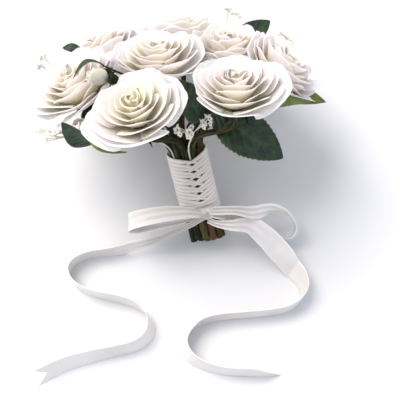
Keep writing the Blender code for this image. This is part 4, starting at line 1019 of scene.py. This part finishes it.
def addRibbon(name, node, centres, ways, rows, phase, notch=0.0, slant=0.0):
    # a ribbon's grid is its middle line plus its width: it is gathered into pleats where it is narrower
    # than it was woven, sways a little where it isn't, and its columns are shortened at the end to cut it
    # to a swallow-tail or a slant
    length = runningLength(centres)
    across = np.linspace(-1, 1, ribbon["columns"])
    wanted = np.linspace(0, length[-1], rows)[:, None] + 0 * across
    tail = ribbon["cutLength"] * mm
    start = length[-1] - tail
    kept = tail - notch * mm * (1 - np.abs(across)) - slant * mm * (1 + across) / 2
    wanted = np.where(wanted > start, start + (wanted - start) * kept / tail, wanted)
    middle, way = readAt(centres, length, wanted), readAt(ways, length, wanted)
    tangent = unit(readAt(unit(np.gradient(centres, axis=0)), length, wanted))
    normal = unit(np.cross(tangent, way))
    narrow = 1 - np.linalg.norm(way, axis=-1) / (ribbon["width"] * mm)
    gathered, wave = np.clip(narrow, 0, .8), math.pi * ribbon["pleats"] * across + phase + 14 * wanted
    pleat = ribbon["pleatDepth"] * mm * gathered * np.sin(wave)
    # painted shade: the fold number darkens the ribbon in the valleys of its pleats
    fold = gathered * (.5 - .5 * np.sin(wave)) ** 2
    swaying = np.sin(wanted / (ribbon["swayLength"] * mm) + phase) * np.clip(1 - narrow * 2, 0, 1)
    offset = pleat + ribbon["sway"] * mm * swaying * across ** 2
    grid = middle + .5 * across[:, None] * way + offset[..., None] * normal + floorPlace
    edge = np.clip((np.abs(across) - .86) / .1, 0, 1)
    flow = stacked(across * .5 * ribbon["width"] * mm, wanted)
    made = addBlades(name, node, grid[None], ribbon["thickness"], bowSatin,
                     {"selvedgeAndTuckShade": edge, "fold": fold}, flow, clearance=.02)


def layTails():
    # a tail's middle line follows its route and is lifted by what its width needs to clear the surface
    for side, tail in tails.items():
        lying = tuple((x, y, 0, ribbon["width"], stand) for x, y, stand in tail["lying"])
        route = smoothRoute(tail["hanging"] + lying, 200)
        centres, width, stand = route[:, :3] * mm, route[:, 3] * mm, np.radians(route[:, 4])
        rest = .5 * width * np.abs(np.sin(stand)) + .5 * ribbon["thickness"] * mm * np.abs(np.cos(stand))
        centres[:, 2] = np.maximum(centres[:, 2], rest)
        heading = unit(np.gradient(centres[:, :2], axis=0))
        sideways = stacked(-heading[:, 1], heading[:, 0], 0) * tail["hand"]
        ways = sideways * np.cos(stand)[:, None] + np.outer(np.sin(stand), (0, 0, 1.0))
        addRibbon("tail_" + side, "ribbon_tail_" + side, centres, ways * width[:, None], 230, tail["hand"],
                  tail["notch"], tail["slant"])


def tieLoops():
    # a loop's width turns between the bow's own face and its edge, always square to the loop's route
    for side, stations in loops.items():
        route = smoothRoute(stations, 120)
        centres, turn = route[:, :3] * mm, np.radians(route[:, 4:])
        ways = bowFace * np.cos(turn) + bowEdge * np.sin(turn)
        tangents = unit(np.gradient(centres, axis=0))
        ways = unit(ways - tangents * np.sum(ways * tangents, axis=1, keepdims=True)) * route[:, 3:4] * mm
        addRibbon("loop_" + side, "bow_loop_" + side, centres, ways, 120, 1.0)


print("laying the bow and its tails")
tieLoops()
layTails()


# Surface and light.

studio = {"floor": "#D9D9DA", "floorReach": 4.0, "world": "#EEF3FF", "worldLevel": 0.96, "keyPower": 192.0,
          "keySize": 2.5, "keyFrom": (-.36, .42, 1), "keyDistance": 4.0, "keyColour": "#FFF9F2",
          "keyAim": 120.0}


def setStudio():
    # a plain surface just under the bunch, an even bluish surround, and one large soft lamp from behind
    far, under = studio["floorReach"], -.2 * mm
    mesh = bpy.data.meshes.new("floor")
    mesh.from_pydata([(-far, -far, under), (far, -far, under), (far, far, under), (-far, far, under)], [],
                     [(0, 1, 2, 3)])
    paper = startFinish("paleStudioPaper", {"Roughness": 0.9, "Specular IOR Level": 0.1,
                                            "Base Color": linear(studio["floor"])})[0]
    mesh.materials.append(paper)
    addObject("floor", mesh)
    world = bpy.data.worlds.new("studio")
    bpy.context.scene.world = world
    world.use_nodes = True
    setInputs(world.node_tree.nodes["Background"],
              {"Color": linear(studio["world"]), "Strength": studio["worldLevel"]})
    lamp = bpy.data.lights.new("softbox", "AREA")
    lamp.energy, lamp.size = studio["keyPower"], studio["keySize"]
    lamp.color = linear(studio["keyColour"])[:3]
    towards = unit(studio["keyFrom"])
    placeObject(addObject("softbox", lamp), unit(np.cross((0, 0, 1), towards)), towards,
                layDown(studio["keyAim"] * mm * stemWay) + towards * studio["keyDistance"])
    bpy.context.scene.view_settings.view_transform = "Standard"


print("setting the surface and the light")
setStudio()
